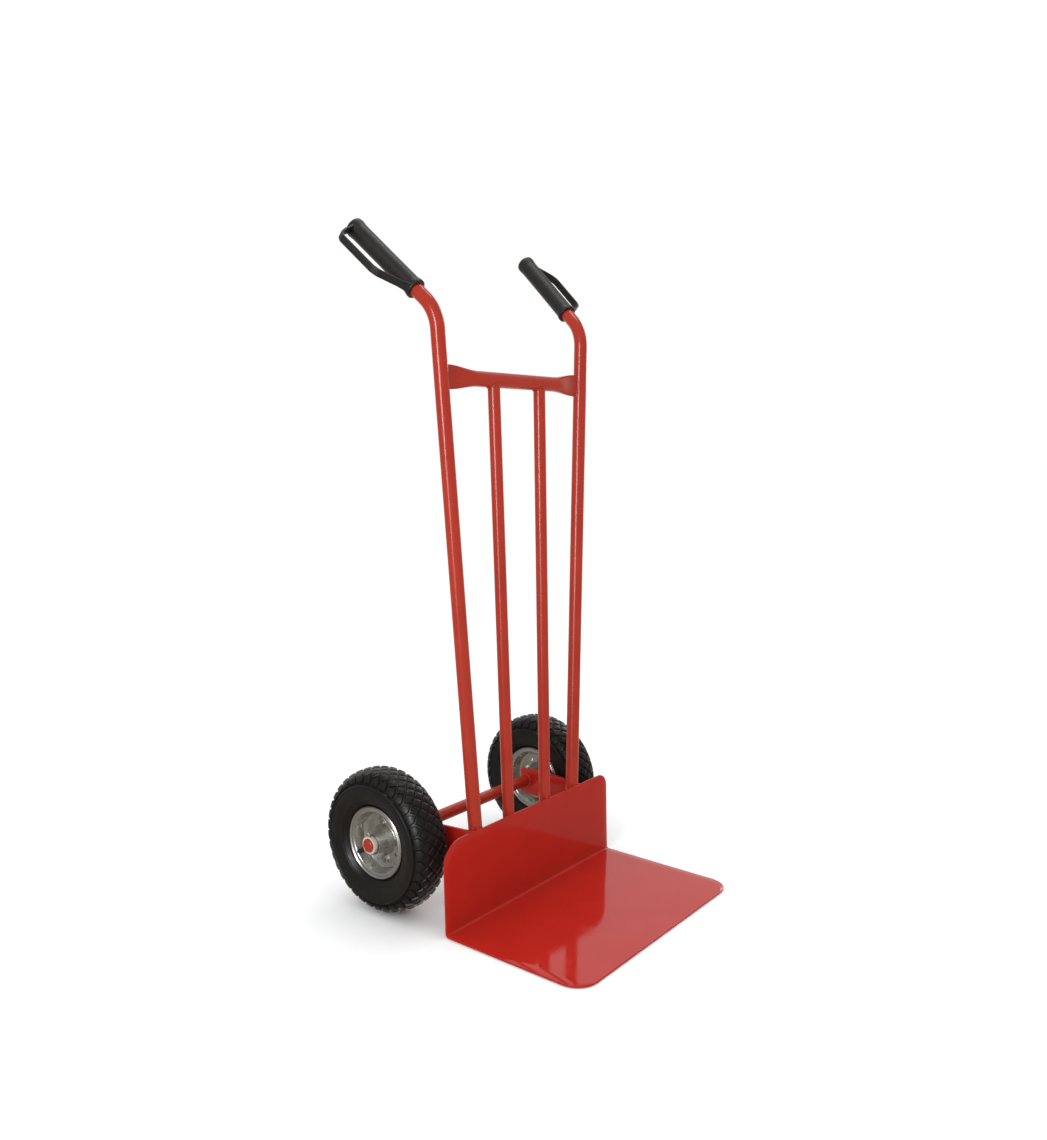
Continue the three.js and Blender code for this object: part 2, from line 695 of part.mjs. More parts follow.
function wheel(side) {
  const turn = WHEEL_TURN[side];
  const valveAngle = turn - VALVE_BEHIND_BOLT;
  const group = new THREE.Group();
  const add = (name, geometry, material) => {
    const mesh = named(`${side}_${name}`, geometry, material);
    group.add(mesh);
    return mesh;
  };
  add("tyre", tyre(), rubber);
  add("air_tube", airTube(valveAngle), butyl);
  add("outer_rim", rimHalf(turn, valveAngle), zinc);
  add("inner_rim", rimHalf(180 - turn), zinc).rotation.x = Math.PI;
  add("hub_tube", hubTube(), steel);
  add("outer_bearing", bearing(), steel);
  add("inner_bearing", bearing(), steel).rotation.x = Math.PI;
  add("valve_stem", valveStem(), steel).rotation.y = deg(valveAngle);
  add("valve_cap", valveCap(), blackPlastic).rotation.y = deg(valveAngle);
  for (let i = 0; i < BOLT_COUNT; i++) {
    const place = around(BOLT_CIRCLE, 0, (360 / BOLT_COUNT) * i + turn);
    add(`rim_bolt_${i + 1}`, rimBolt(), steel).position.copy(place);
    add(`rim_nut_${i + 1}`, rimNut(), steel).position.copy(place);
  }
  group.rotation.z = -Math.PI / 2;
  return group;
}

// ---------------------------------------------------------------- the truck
// Everything in a side group is built on the right, and the left group is its mirror image.
function backSide(side) {
  const group = new THREE.Group();
  group.add(named(`${side}_upright`, upright(), redTube));
  group.add(named(`${side}_inner_upright`, innerUpright(), redTube));
  group.add(placeGrip(named(`${side}_grip`, grip(), blackPlastic)));
  group.scale.x = side === "left" ? -1 : 1;
  return group;
}

function axleSide(side) {
  const group = new THREE.Group();
  group.add(named(`${side}_axle_bracket`, bracket(), redSheet));
  const onAxle = (mesh, x) => {
    mesh.position.set(x, AXLE_Y, WHEEL_RADIUS);
    group.add(mesh);
  };
  const inboard = TRACK / 2 - HUB_HALF_LENGTH - GAP - WASHER_THICKNESS;
  const outboard = TRACK / 2 + HUB_HALF_LENGTH + GAP;
  onAxle(named(`${side}_inner_washer`, alongX(washer()), zinc), inboard);
  onAxle(named(`${side}_axle_collar`, retainer(PIN_X - outboard), zinc), outboard);
  onAxle(named(`${side}_split_pin`, splitPin(), steel), PIN_X);
  onAxle(wheel(side), TRACK / 2);
  group.scale.x = side === "left" ? -1 : 1;
  return group;
}

const back = new THREE.Group();
back.rotation.x = -LEAN;
back.add(named("crossbar", crossbar(), redTube), backSide("left"), backSide("right"));

const fixedAxle = named("axle", axle(), redTube);
fixedAxle.position.set(0, AXLE_Y, WHEEL_RADIUS);

const handTruck = new THREE.Group();
handTruck.add(named("toe_plate", toePlate(), redSheet), back, fixedAxle);
handTruck.add(axleSide("left"), axleSide("right"));
handTruck.position.y = -MIDDLE_Y;

export default handTruck;
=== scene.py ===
import json
from math import asin, copysign, cos, pi, radians, sin, sqrt, tan

import bmesh
import bpy
from mathutils import Matrix, Vector


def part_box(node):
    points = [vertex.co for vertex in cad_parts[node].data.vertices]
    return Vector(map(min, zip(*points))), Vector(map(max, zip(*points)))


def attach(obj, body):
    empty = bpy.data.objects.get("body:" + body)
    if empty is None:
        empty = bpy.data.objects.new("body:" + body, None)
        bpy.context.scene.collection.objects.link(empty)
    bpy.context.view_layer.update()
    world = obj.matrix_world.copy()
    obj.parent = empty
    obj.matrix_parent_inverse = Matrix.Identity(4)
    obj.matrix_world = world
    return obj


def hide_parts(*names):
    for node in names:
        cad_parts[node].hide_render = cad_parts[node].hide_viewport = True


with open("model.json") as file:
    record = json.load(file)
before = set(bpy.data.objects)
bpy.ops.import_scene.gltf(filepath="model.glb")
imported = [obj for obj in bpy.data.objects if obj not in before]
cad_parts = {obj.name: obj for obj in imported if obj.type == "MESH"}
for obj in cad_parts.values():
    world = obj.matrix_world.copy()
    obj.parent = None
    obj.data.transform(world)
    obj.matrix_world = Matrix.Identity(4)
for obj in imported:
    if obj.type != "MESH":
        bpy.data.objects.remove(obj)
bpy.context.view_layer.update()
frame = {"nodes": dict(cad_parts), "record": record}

# ---------------------------------------------------------------- sizes, in millimetres
MM = 0.001
GAP = 0.3

SHEET = 3
PLATE_WIDTH = 488
PLATE_DEPTH = 282
FLANGE_HEIGHT = 163
BEND_RADIUS = 4
PLATE_CORNER = 40
PLATE_COLUMNS = 28
PLATE_WAVE = 0.12
FLANGE_CORNER = {"left": 44, "right": 26}

LEAN = radians(1.7)
TUBE_RADIUS = 12.5
TUBE_WALL = 2
TUBE_FOOT = 8
TUBE_FOOT_X = 135.6
TUBE_SPREAD = 0.0655
BEND_HEIGHT = 1051
HANDLE_BEND_RADIUS = 72
HANDLE_PITCH = radians(43.6)
HANDLE_SPLAY = radians(10.4)
HANDLE_LENGTH = 216

INNER_RADIUS = 11
INNER_WALL = 1.8
INNER_FOOT_X = 52.7
INNER_SPREAD = 0.0133

CROSSBAR_HEIGHT = 944.5
CROSSBAR_RADIUS = 13.5
CROSSBAR_WALL = 2
CROSSBAR_REACH = 188.5
TAB_START = 178
TAPER_START = 108
TAB_HALF_HEIGHT = 20.5
TAB_HALF_THICKNESS = 2.9

GRIP_OFFSET = 51
GRIP_LENGTH = 169
GRIP_END = 3
GRIP_RADIUS = 16.1
COLLAR_RADIUS = 18
GUARD_REACH = 64
GUARD_WIDTH = 13
GUARD_THICKNESS = 4

AXLE_RADIUS = 11.5
AXLE_Y = 163.5
AXLE_REACH = 271.5
AXLE_CHAMFER = 1.2
PIN_X = 264.8
PIN_WIRE = 1.15
PIN_EYE = 3.4
PIN_HOLE = 2.8
PIN_NECK = 13
PIN_BEND = 16.4
PIN_EYE_DROP = 19.6
PIN_EYE_STEPS = 28
PIN_TIPS = ([(4.4, 20.6), (3.0, 18.9)], [(-2.2, 18.6), (-4.0, 20.4)])
WASHER_RADIUS = 15.8
BRACKET_THICKNESS = 5
BRACKET_SPLAY = radians(8.7)
BRACKET_X = 158.9
BRACKET_FRONT = 11.6
BRACKET_KNEE = 104
BRACKET_REAR = 162
BRACKET_TOP = 160
BRACKET_BOTTOM = 109
BRACKET_DROP = 6.5
BRACKET_CORNER = 8

WHEEL_RADIUS = 130
TYRE_HALF_WIDTH = 39
TYRE_MIDDLE = 93
TYRE_POWER = 2 / 2.6  # squarer than an ellipse
TYRE_INSIDE = [
    (67.4, 24.3), (56.4, 21.4), (55, 11), (64, 14), (80, 30.5), (95, 33.5), (113, 28.5), (123, 9),
    (123.5, 0),
]
TREAD_DEPTH = {"crown": 2.0, "shoulder": 3.4}
TREAD_PITCHES = 36
TREAD_ROW = 11.5  # between neighbouring rows of diamonds, along the section
TREAD_ROWS = 2  # of diamonds, on each side of the middle one
SHOULDER_LUG = 12.5
GROOVE = 1.0  # half width, between diamonds
SHOULDER_GROOVE = 2.1
RIM_SHEET = 2
RIM_DISC = 1.35
HUB_HALF_LENGTH = 34
HUB_RADIUS = 17.4
HUB_BORE = 13
BEARING_RADIUS = 15.5
BEARING_WIDTH = 12
BOLT_CIRCLE = 35.5
BOLT_RADIUS = 3.9
BOLT_HEX = 7.5
BOLT_HEAD = 5.3
NUT_HEIGHT = 6.5
VENT_RADIUS = 3
VALVE_RADIUS = 3
VALVE_CIRCLE = 40
VALVE_LEVEL = 6.5
VALVE_LENGTH = 16
VALVE_FOOT = 63.4
VALVE_BEND = 5
THREAD_PITCH = 1.25
VALVE_BEHIND_BOLT = 118
CAP_RADIUS = 4.4
CAP_LENGTH = 14
WHEEL_TURN = {"left": -5, "right": 12}

WELD_SPACING = 0.8  # between the rings of a bead
WELD_DROP = 2.4  # between its ripples

SIDES = ("left", "right")
X_AXIS = Vector((1, 0, 0))
Z_AXIS = Vector((0, 0, 1))


def node_place(node):
    """A CAD node's middle and its length along X, in millimetres."""
    low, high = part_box(node)
    return (low + high) / 2 / MM, (high.x - low.x) / MM


WHEEL_MIDDLE = {side: node_place(f"{side}_tyre")[0] for side in SIDES}
MIRROR = Matrix.Scale(-1, 4, (1, 0, 0))
DESIGN = Matrix.Translation((0, WHEEL_MIDDLE["right"].y - AXLE_Y, 0))
BACK = DESIGN @ Matrix.Rotation(-LEAN, 4, "X")
TUBE_Y = SHEET + GAP + TUBE_RADIUS
INNER_Y = SHEET + GAP + INNER_RADIUS


def on_side(side, matrix):
    """The matrix of a piece that is designed on the right, for the given side."""
    return matrix if side == "right" else MIRROR @ matrix


def at_axle(x=0):
    """The matrix of a place on the axle's middle line."""
    return DESIGN @ Matrix.Translation((x, AXLE_Y, WHEEL_RADIUS))


# ---------------------------------------------------------------- camera, lights and floor
CAMERA_AZIMUTH = radians(-51.536)
CAMERA_ELEVATION = radians(7.167)
CAMERA_TARGET = Vector((0.36198, 0.30916, 0.54597))
CAMERA_DISTANCE = 2.32205
CAMERA_LENS = 32.077

ROOM_SIDE_LIGHT = 0.66
ROOM_TOP_LIGHT = 1.36
ROOM_BRIGHT = 0.85
ROOM_DIM = 0.26
ROOM_FADE = (0.35, 0.8)
ROOM_WARM = (0.45, (1.0, 0.90, 0.80))
ROOM_COOL = (0.72, (0.97, 0.975, 0.98))
FLOOR_LEVEL = -0.0015
FLOOR_HALF = 60
FLOOR_COLOUR = (0.93, 0.93, 0.93)
WHITE = (1, 1, 1)

# azimuth, elevation, distance, size, watts, height of the aim and colour, in degrees and metres
LIGHTS = {
    "left_window": (-76, 0, 2.6, (0.7, 1.25), 22, 1.2, (0.94, 0.975, 1)),
    "far_window": (100, 10, 2.8, (0.5, 1.2), 9, 1.2, WHITE),
    "top": (120, 80, 2.4, (1.6, 0.5), 12, 0.55, WHITE),
    "window_glint": (-75, 0, 2.55, (0.62, 1.95), 17, 0.98, WHITE),
}
GLOSS_ONLY = ("top", "window_glint")


def direction(azimuth, elevation):
    """Unit vector towards an azimuth, counted from the front (-Y) towards +X, and an elevation."""
    flat = cos(elevation)
    return Vector((sin(azimuth) * flat, -cos(azimuth) * flat, sin(elevation)))


def add_object(name, data):
    made = bpy.data.objects.new(name, data)
    bpy.context.scene.collection.objects.link(made)
    return made


def add_aimed(name, data, target, towards, distance):
    """A camera or a light that looks at its target from a distance."""
    made = add_object(name, data)
    made.location = target + towards * distance
    made.rotation_euler = (-towards).to_track_quat("-Z", "Y").to_euler()
    return made


def make_camera():
    data = bpy.data.cameras.new("camera")
    data.lens = CAMERA_LENS
    data.clip_end = 50
    towards = direction(CAMERA_AZIMUTH, CAMERA_ELEVATION)
    camera = add_aimed("camera", data, CAMERA_TARGET, towards, CAMERA_DISTANCE)
    bpy.context.scene.camera = camera


def make_lights():
    for name, (azimuth, elevation, distance, size, watts, height, colour) in LIGHTS.items():
        data = bpy.data.lights.new(name, "AREA")
        data.shape = "RECTANGLE"
        data.size, data.size_y = size
        data.energy = watts
        data.color = colour
        towards = direction(radians(azimuth), radians(elevation))
        light = add_aimed(name, data, Vector((0, 0, height)), towards, distance)
        light.visible_diffuse = name not in GLOSS_ONLY


def map_range(tree, value, source, target, smooth=False):
    """Carries one range of numbers to another."""
    node = tree.nodes.new("ShaderNodeMapRange")
    node.interpolation_type = "SMOOTHSTEP" if smooth else "LINEAR"
    sockets = ("From Min", "From Max", "To Min", "To Max")
    for socket, number in zip(sockets, (*source, *target)):
        node.inputs[socket].default_value = number
    tree.links.new(value, node.inputs["Value"])
    return node.outputs["Result"]


def colour_ramp(tree, value, stops):
    """Turns a number into a colour between two (number, colour) stops."""
    node = tree.nodes.new("ShaderNodeValToRGB")
    for element, (number, colour) in zip(node.color_ramp.elements, stops):
        element.position = number
        element.color = (*colour, 1)
    tree.links.new(value, node.inputs["Fac"])
    return node.outputs["Color"]


def make_world():
    """White to the camera, even light for the surfaces, and a studio for the reflections."""
    world = bpy.data.worlds.new("studio")
    world.use_nodes = True
    tree = world.node_tree
    nodes, links = tree.nodes, tree.links

    def mixed(factor, first, second):
        mix = nodes.new("ShaderNodeMixShader")
        for socket, output in zip(mix.inputs, (factor, first, second)):
            links.new(output, socket)
        return mix.outputs[0]

    def background():
        node = nodes.new("ShaderNodeBackground")
        node.inputs["Color"].default_value = (*WHITE, 1)
        return node

    coordinates = nodes.new("ShaderNodeTexCoord").outputs["Generated"]
    split = nodes.new("ShaderNodeSeparateXYZ")
    links.new(coordinates, split.inputs[0])
    rise = split.outputs["Z"]

    # what lights the surfaces: more from above than from the sides
    light = background()
    brightness = map_range(tree, rise, (0, 1), (ROOM_SIDE_LIGHT, ROOM_TOP_LIGHT), True)
    links.new(brightness, light.inputs["Strength"])

    # what gloss reflects: bright behind the truck, dim behind the camera, warm below, cool above
    studio = background()
    facing = nodes.new("ShaderNodeVectorMath")
    facing.operation = "DOT_PRODUCT"
    facing.inputs[1].default_value = -direction(CAMERA_AZIMUTH, 0)
    links.new(coordinates, facing.inputs[0])
    fade = map_range(tree, facing.outputs["Value"], ROOM_FADE, (ROOM_DIM, ROOM_BRIGHT), True)
    links.new(fade, studio.inputs["Strength"])
    height = map_range(tree, rise, (-1, 1), (0, 1), True)
    links.new(colour_ramp(tree, height, (ROOM_WARM, ROOM_COOL)), studio.inputs["Color"])

    path = nodes.new("ShaderNodeLightPath")
    inside = mixed(path.outputs["Is Glossy Ray"], light.outputs[0], studio.outputs[0])
    seen = mixed(path.outputs["Is Camera Ray"], inside, background().outputs[0])
    links.new(seen, nodes["World Output"].inputs["Surface"])
    bpy.context.scene.world = world


def make_floor():
    ends = ((-FLOOR_HALF, -FLOOR_HALF), (FLOOR_HALF, -FLOOR_HALF))
    ends += ((FLOOR_HALF, FLOOR_HALF), (-FLOOR_HALF, FLOOR_HALF))
    mesh = bpy.data.meshes.new("floor")
    mesh.from_pydata([(x, y, FLOOR_LEVEL) for x, y in ends], [], [(0, 1, 2, 3)])
    mesh.materials.append(plain_material("floor_paint", FLOOR_COLOUR, 0.9))
    floor = add_object("floor", mesh)
    floor.visible_glossy = False  # gloss sees the dimmer studio instead


def set_view():
    view = bpy.context.scene.view_settings
    view.view_transform = "Standard"
    view.look = "None"
    view.exposure = 0


# ---------------------------------------------------------------- materials
def plain_material(name, colour, roughness, metallic=0):
    material = bpy.data.materials.new(name)
    material.use_nodes = True
    shader = material.node_tree.nodes["Principled BSDF"]
    shader.inputs["Base Color"].default_value = (*colour, 1)
    shader.inputs["Roughness"].default_value = roughness
    shader.inputs["Metallic"].default_value = metallic
    return material


NOISE_RANGE = (0.3, 0.7)  # where most of a noise's values lie


def coat(name, colours, tone, gloss, roughness, grain, height, metallic=0, specular=0.5):
    """A material of cloudy colour, uneven gloss and fine relief, up to a height in millimetres.

    Its three solid noises, tone, gloss and grain, are given as (size in millimetres, detail).
    """
    material = plain_material(name, WHITE, 0.5, metallic)
    tree = material.node_tree
    shader = tree.nodes["Principled BSDF"].inputs
    shader["Specular IOR Level"].default_value = specular
    where = tree.nodes.new("ShaderNodeTexCoord").outputs["Object"]

    def noise(size, detail):
        node = tree.nodes.new("ShaderNodeTexNoise")
        node.inputs["Scale"].default_value = 1 / (size * MM)
        node.inputs["Detail"].default_value = detail
        tree.links.new(where, node.inputs["Vector"])
        return node.outputs["Fac"]

    colour = colour_ramp(tree, noise(*tone), zip(NOISE_RANGE, colours))
    tree.links.new(colour, shader["Base Color"])
    tree.links.new(map_range(tree, noise(*gloss), NOISE_RANGE, roughness), shader["Roughness"])
    bump = tree.nodes.new("ShaderNodeBump")
    bump.inputs["Strength"].default_value = 1
    bump.inputs["Distance"].default_value = height * MM
    tree.links.new(noise(*grain), bump.inputs["Height"])
    tree.links.new(bump.outputs["Normal"], shader["Normal"])
    return material


def red_paint(name, dark, light, gloss):
    """Gloss powder coat: slow changes of tone, and fine orange peel."""
    return coat(name, (dark, light), (70, 3), (22, 4), (gloss, gloss + 0.08), (2.6, 1), 0.012)


def grained_plastic(name, dark, light):
    """Moulded black plastic with a fine spark-eroded grain."""
    return coat(name, (dark, light), (14, 3), (4, 3), (0.42, 0.54), (1.1, 1), 0.0025)


SLOT_MATERIALS = {
    "red_tube": red_paint("red_tube_paint", (0.350, 0.0240, 0.0108), (0.385, 0.0290, 0.0128), 0.17),
    "red_sheet": red_paint("red_sheet_paint", (0.39, 0.0143, 0.0083), (0.42, 0.0168, 0.0095), 0.05),
    "zinc": coat(
        "zinc_plate",
        ((0.60, 0.59, 0.56), (0.70, 0.69, 0.65)),
        (40, 3), (14, 3), (0.26, 0.34), (30, 0), 0.03, metallic=1,
    ),
    "steel": coat(
        "plated_steel",
        ((0.30, 0.29, 0.26), (0.62, 0.60, 0.55)),
        (5, 4), (1.6, 3), (0.2, 0.36), (0.8, 3), 0.01, metallic=1,
    ),
    "tyre": coat(
        "tyre_rubber",
        ((0.0056, 0.0043, 0.0036), (0.0092, 0.0074, 0.0062)),
        (24, 4), (7, 4), (0.3, 0.46), (2.4, 2), 0.02, specular=0.4,
    ),
    "butyl": coat(
        "butyl_rubber",
        ((0.009, 0.009, 0.009), (0.014, 0.014, 0.014)),
        (25, 3), (6, 3), (0.5, 0.65), (1.5, 3), 0.02,
    ),
    "grip_plastic": grained_plastic(
        "grip_plastic", (0.0115, 0.0096, 0.0080), (0.0165, 0.0138, 0.0115)
    ),
    "cap_plastic": grained_plastic("cap_plastic", (0.010, 0.010, 0.0095), (0.014, 0.014, 0.013)),
}
DULL_ZINC = coat(
    "dull_zinc",
    ((0.52, 0.47, 0.38), (0.70, 0.65, 0.55)),
    (6, 4), (2, 3), (0.38, 0.55), (1.4, 3), 0.012, metallic=0.25,
)


# ---------------------------------------------------------------- making pieces
class Shape:
    """Vertices and faces in millimetres."""

    def __init__(self):
        self.vertices = []
        self.faces = []

    def add(self, point):
        self.vertices.append(Vector(point))
        return len(self.vertices) - 1

    def loop(self, points):
        return [self.add(point) for point in points]

    def bridge(self, first, second, closed=True):
        count = len(first)
        for i in range(count if closed else count - 1):
            j = (i + 1) % count
            self.faces.append((first[i], first[j], second[j], second[i]))

    def skin(self, rings, closed=True):
        for first, second in zip(rings, rings[1:]):
            self.bridge(first, second, closed)

    def tube(self, outer, inner):
        """Two skins, and the walls that join them at both ends."""
        self.skin(outer)
        self.skin(inner)
        for end in (0, -1):
            self.bridge(outer[end], inner[end])

    def cap(self, ring, tip):
        for i, vertex in enumerate(ring):
            self.faces.append((vertex, ring[(i + 1) % len(ring)], tip))

    def rod(self, rings, path):
        """A skin that is closed at both ends of its path."""
        self.skin(rings)
        for end in (0, -1):
            self.cap(rings[end], self.add(path[end]))


def make_object(name, shape, matrix=Matrix.Identity(4), smooth_angle=35):
    """A closed mesh object in metres from a shape in millimetres, with its faces pointing out."""
    bm = bmesh.new()
    points = [bm.verts.new(matrix @ vertex * MM) for vertex in shape.vertices]
    for face in shape.faces:
        bm.faces.new([points[i] for i in face])
    bmesh.ops.remove_doubles(bm, verts=bm.verts, dist=0.5e-6)
    bmesh.ops.recalc_face_normals(bm, faces=bm.faces)
    mesh = bpy.data.meshes.new(name)
    bm.to_mesh(mesh)
    bm.free()
    made = add_object(name, mesh)
    shade(made, smooth_angle)
    return made


def shade(made, angle):
    made.data.shade_smooth()
    made.data.set_sharp_from_angle(angle=radians(angle))


def apply_modifiers(made, smooth_angle=35):
    depsgraph = bpy.context.evaluated_depsgraph_get()
    mesh = bpy.data.meshes.new_from_object(made.evaluated_get(depsgraph))
    old = made.data
    made.modifiers.clear()
    made.data = mesh
    mesh.name = made.name
    bpy.data.meshes.remove(old)
    shade(made, smooth_angle)


def combine(made, others, operation="DIFFERENCE", smooth_angle=35):
    """Cuts the other objects from this one, or joins or crosses it with them, and deletes them."""
    for other in others:
        modifier = made.modifiers.new("combine", "BOOLEAN")
        modifier.object = other
        modifier.operation = operation
        modifier.solver = "EXACT"
    apply_modifiers(made, smooth_angle)
    for other in others:
        bpy.data.objects.remove(other)


def round_edges(made, width):
    modifier = made.modifiers.new("edges", "BEVEL")
    modifier.width = width * MM
    modifier.segments = 2
    modifier.limit_method = "ANGLE"
    modifier.angle_limit = radians(40)
    modifier.harden_normals = False
    apply_modifiers(made)


def hole(radius, low, high, matrix, segments=24):
    """What cuts a round hole along X."""
    return make_object("hole", cylinder(radius, low, high, segments), matrix)


def dress(made, body, slot, *nodes):
    """Gives a piece its material and its body, and hides the CAD nodes that it stands for."""
    made.data.materials.clear()
    made.data.materials.append(SLOT_MATERIALS[slot])
    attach(made, body)
    if nodes:
        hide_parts(*nodes)


def turns(count):
    """Angles at even steps round a circle."""
    return [2 * pi * i / count for i in range(count)]


def filleted(points, radius, steps=6):
    """A line of 2D points with each inner corner replaced by an arc."""
    line = [Vector(point) for point in points]
    result = [line[0]]
    for i in range(1, len(line) - 1):
        corner = line[i]
        before = (line[i - 1] - corner).normalized()
        after = (line[i + 1] - corner).normalized()
        half = before.angle(after) / 2
        room = min((line[i - 1] - corner).length, (line[i + 1] - corner).length) * 0.48
        setback = min(radius / tan(half), room)
        start, end = corner + before * setback, corner + after * setback
        for k in range(steps + 1):
            t = k / steps
            result.append(start * (1 - t) ** 2 + corner * 2 * t * (1 - t) + end * t**2)
    result.append(line[-1])
    return result


def closed_fillet(points, radius, steps=6):
    """The same for a closed outline."""
    wrapped = [points[-1], *points, points[0]]
    result = []
    for i in range(len(points)):
        result += filleted(wrapped[i : i + 3], radius, steps)[1:-1]
    return result


def sheet_outline(line, thickness):
    """The closed outline of a sheet along a line of 2D points."""
    points = [Vector(point) for point in line]
    last = len(points) - 1
    sides = ([], [])
    for i, point in enumerate(points):
        along = (points[min(i + 1, last)] - points[max(i - 1, 0)]).normalized()
        across = Vector((-along.y, along.x)) * thickness / 2
        sides[0].append(point - across)
        sides[1].append(point + across)
    return sides[0] + sides[1][::-1]


def lathe(profile, segments=96, ripple=None):
    """A solid turned about X from (radius, x) points: a closed ring, or from axis to axis."""
    shape = Shape()
    rings = []
    for radius, x in profile:
        if radius == 0:
            rings.append([shape.add((x, 0, 0))])
            continue
        ring = []
        for angle in turns(segments):
            r = radius + (ripple(angle, x) if ripple else 0)
            ring.append((x, r * cos(angle), r * sin(angle)))
        rings.append(shape.loop(ring))
    if len(rings[0]) > 1:
        rings.append(rings[0])
    for first, second in zip(rings, rings[1:]):
        if len(first) == 1:
            shape.cap(second, first[0])
        elif len(second) == 1:
            shape.cap(first, second[0])
        else:
            shape.bridge(first, second)
    return shape


def cylinder(radius, low, high, segments=48):
    return lathe([(0, low), (radius, low), (radius, high), (0, high)], segments)


def extrusion(outline, low, high):
    """A prism along Z over a 2D outline."""
    shape = Shape()
    bottom = shape.loop([(*point, low) for point in outline])
    top = shape.loop([(*point, high) for point in outline])
    shape.bridge(bottom, top)
    shape.faces += [tuple(bottom[::-1]), tuple(top)]
    return shape


def frames_along(points, up=None, closed=False):
    """A (point, side, other side) frame at each point of a path, without twist."""
    count = len(points)
    frames = []
    side = None
    for i, point in enumerate(points):
        ahead = points[(i + 1) % count] if closed else points[min(i + 1, count - 1)]
        behind = points[i - 1] if closed or i > 0 else point
        tangent = (ahead - behind).normalized()
        if up is not None:
            side = tangent.cross(up).normalized()
        elif side is None:
            side = tangent.orthogonal().normalized()
        else:
            side = (side - tangent * side.dot(tangent)).normalized()
        frames.append((point, side, tangent.cross(side)))
    return frames


def tube_rings(shape, frames, radius, sides):
    rings = []
    for i, (point, side, other) in enumerate(frames):
        r = radius(i) if callable(radius) else radius
        ring = [point + side * r * cos(a) + other * r * sin(a) for a in turns(sides)]
        rings.append(shape.loop(ring))
    return rings


def sweep(points, radius, sides=40, wall=0, up=None, closed=False):
    """A round bar or tube along a path."""
    shape = Shape()
    frames = frames_along(points, up, closed)
    outer = tube_rings(shape, frames, radius, sides)
    if closed:
        shape.skin([*outer, outer[0]])
    elif wall:
        shape.tube(outer, tube_rings(shape, frames, radius - wall, sides))
    else:
        shape.rod(outer, points)
    return shape


def bent_line(start, corner, end, radius, steps=24):
    """Straight, bend, straight."""
    before = (corner - start).normalized()
    after = (end - corner).normalized()
    turn = before.angle(after)
    inward = (after - before * before.dot(after)).normalized()
    arc_start = corner - before * radius * tan(turn / 2)
    points = [start]
    for i in range(steps + 1):
        angle = turn * i / steps
        ahead = before * radius * sin(angle)
        points.append(arc_start + ahead + inward * radius * (1 - cos(angle)))
    return [*points, end]


def weld(name, points, size, up, matrix, closed=False):
    """A bead along a path, in overlapping drops, painted with the frame."""
    line = resampled(points, WELD_SPACING, closed)

    def radius(i):
        phase = (i * WELD_SPACING % WELD_DROP) / WELD_DROP
        ends = 1 if closed else min(1, 0.45 + 0.3 * min(i, len(line) - 1 - i))
        return size * ends * (0.9 + 0.14 * sin(pi * phase))

    made = make_object(name, sweep(line, radius, 10, up=up, closed=closed), matrix, 60)
    dress(made, "frame", "red_tube")


def distances(line):
    """How far along a line each of its points is."""
    result = [0]
    for first, second in zip(line, line[1:]):
        result.append(result[-1] + (second - first).length)
    return result


def locate(lengths, along, k=0):
    """The stretch of a line that holds a distance along it, and the share of it passed."""
    while k < len(lengths) - 2 and lengths[k + 1] < along:
        k += 1
    return k, (along - lengths[k]) / max(lengths[k + 1] - lengths[k], 1e-9)


def resampled(points, spacing, closed=False):
    """Points at an even spacing along a path."""
    line = [Vector(point) for point in points]
    if closed:
        line.append(line[0])
    lengths = distances(line)
    count = max(3, round(lengths[-1] / spacing))
    result = []
    k = 0
    for i in range(count if closed else count + 1):
        k, t = locate(lengths, lengths[-1] * i / count, k)
        result.append(line[k].lerp(line[k + 1], t))
    return result


# ---------------------------------------------------------------- toe plate
def corner_inset(distance, radius):
    """How far a rounded corner draws the side edge in, at a distance from the end edge."""
    if distance >= radius:
        return 0
    return radius - sqrt(max(radius**2 - (radius - distance) ** 2, 0))


def plate_rows():
    """Distances along the sheet, from the front edge over the bend to the top of the flange."""
    bend_z = SHEET + BEND_RADIUS
    bend_y = (bend_z * sin(LEAN) - BEND_RADIUS) / cos(LEAN)
    middle_radius = BEND_RADIUS + SHEET / 2
    flat = PLATE_DEPTH + bend_y
    turn = pi / 2 - LEAN
    rise = FLANGE_HEIGHT - (bend_z * cos(LEAN) + bend_y * sin(LEAN))
    total = flat + middle_radius * turn + rise
    steps = [radians(9 * i) for i in range(11)]  # a quarter turn, for the rounded corners
    rows = {round(PLATE_CORNER * (1 - cos(a)), 4) for a in steps}
    for radius in FLANGE_CORNER.values():
        rows |= {round(total - radius * (1 - cos(a)), 4) for a in steps}
    rows |= {round(flat + middle_radius * turn * i / 10, 4) for i in range(11)}
    rows |= {float(s) for s in range(60, int(flat) - 10, 20)}
    rows |= {float(s) for s in range(int(total) - 140, int(total) - 50, 20)}

    def middle(s):
        """The sheet's middle line and its normal, in the (y, z) plane."""
        if s <= flat:
            return Vector((s - PLATE_DEPTH, SHEET / 2)), Vector((0, 1))
        if s <= flat + middle_radius * turn:
            angle = -pi / 2 + (s - flat) / middle_radius
            out = Vector((cos(angle), sin(angle)))
            return Vector((bend_y, bend_z)) + out * middle_radius, -out
        up = Vector((sin(LEAN), cos(LEAN)))
        back = Vector((cos(LEAN), -sin(LEAN)))
        height = FLANGE_HEIGHT - (total - s)
        return up * height + back * SHEET / 2, -back

    thinned = []
    for s in sorted(rows):
        if not thinned or s - thinned[-1] > 0.3:
            thinned.append(s)
    thinned[-1] = total
    return thinned, total, middle


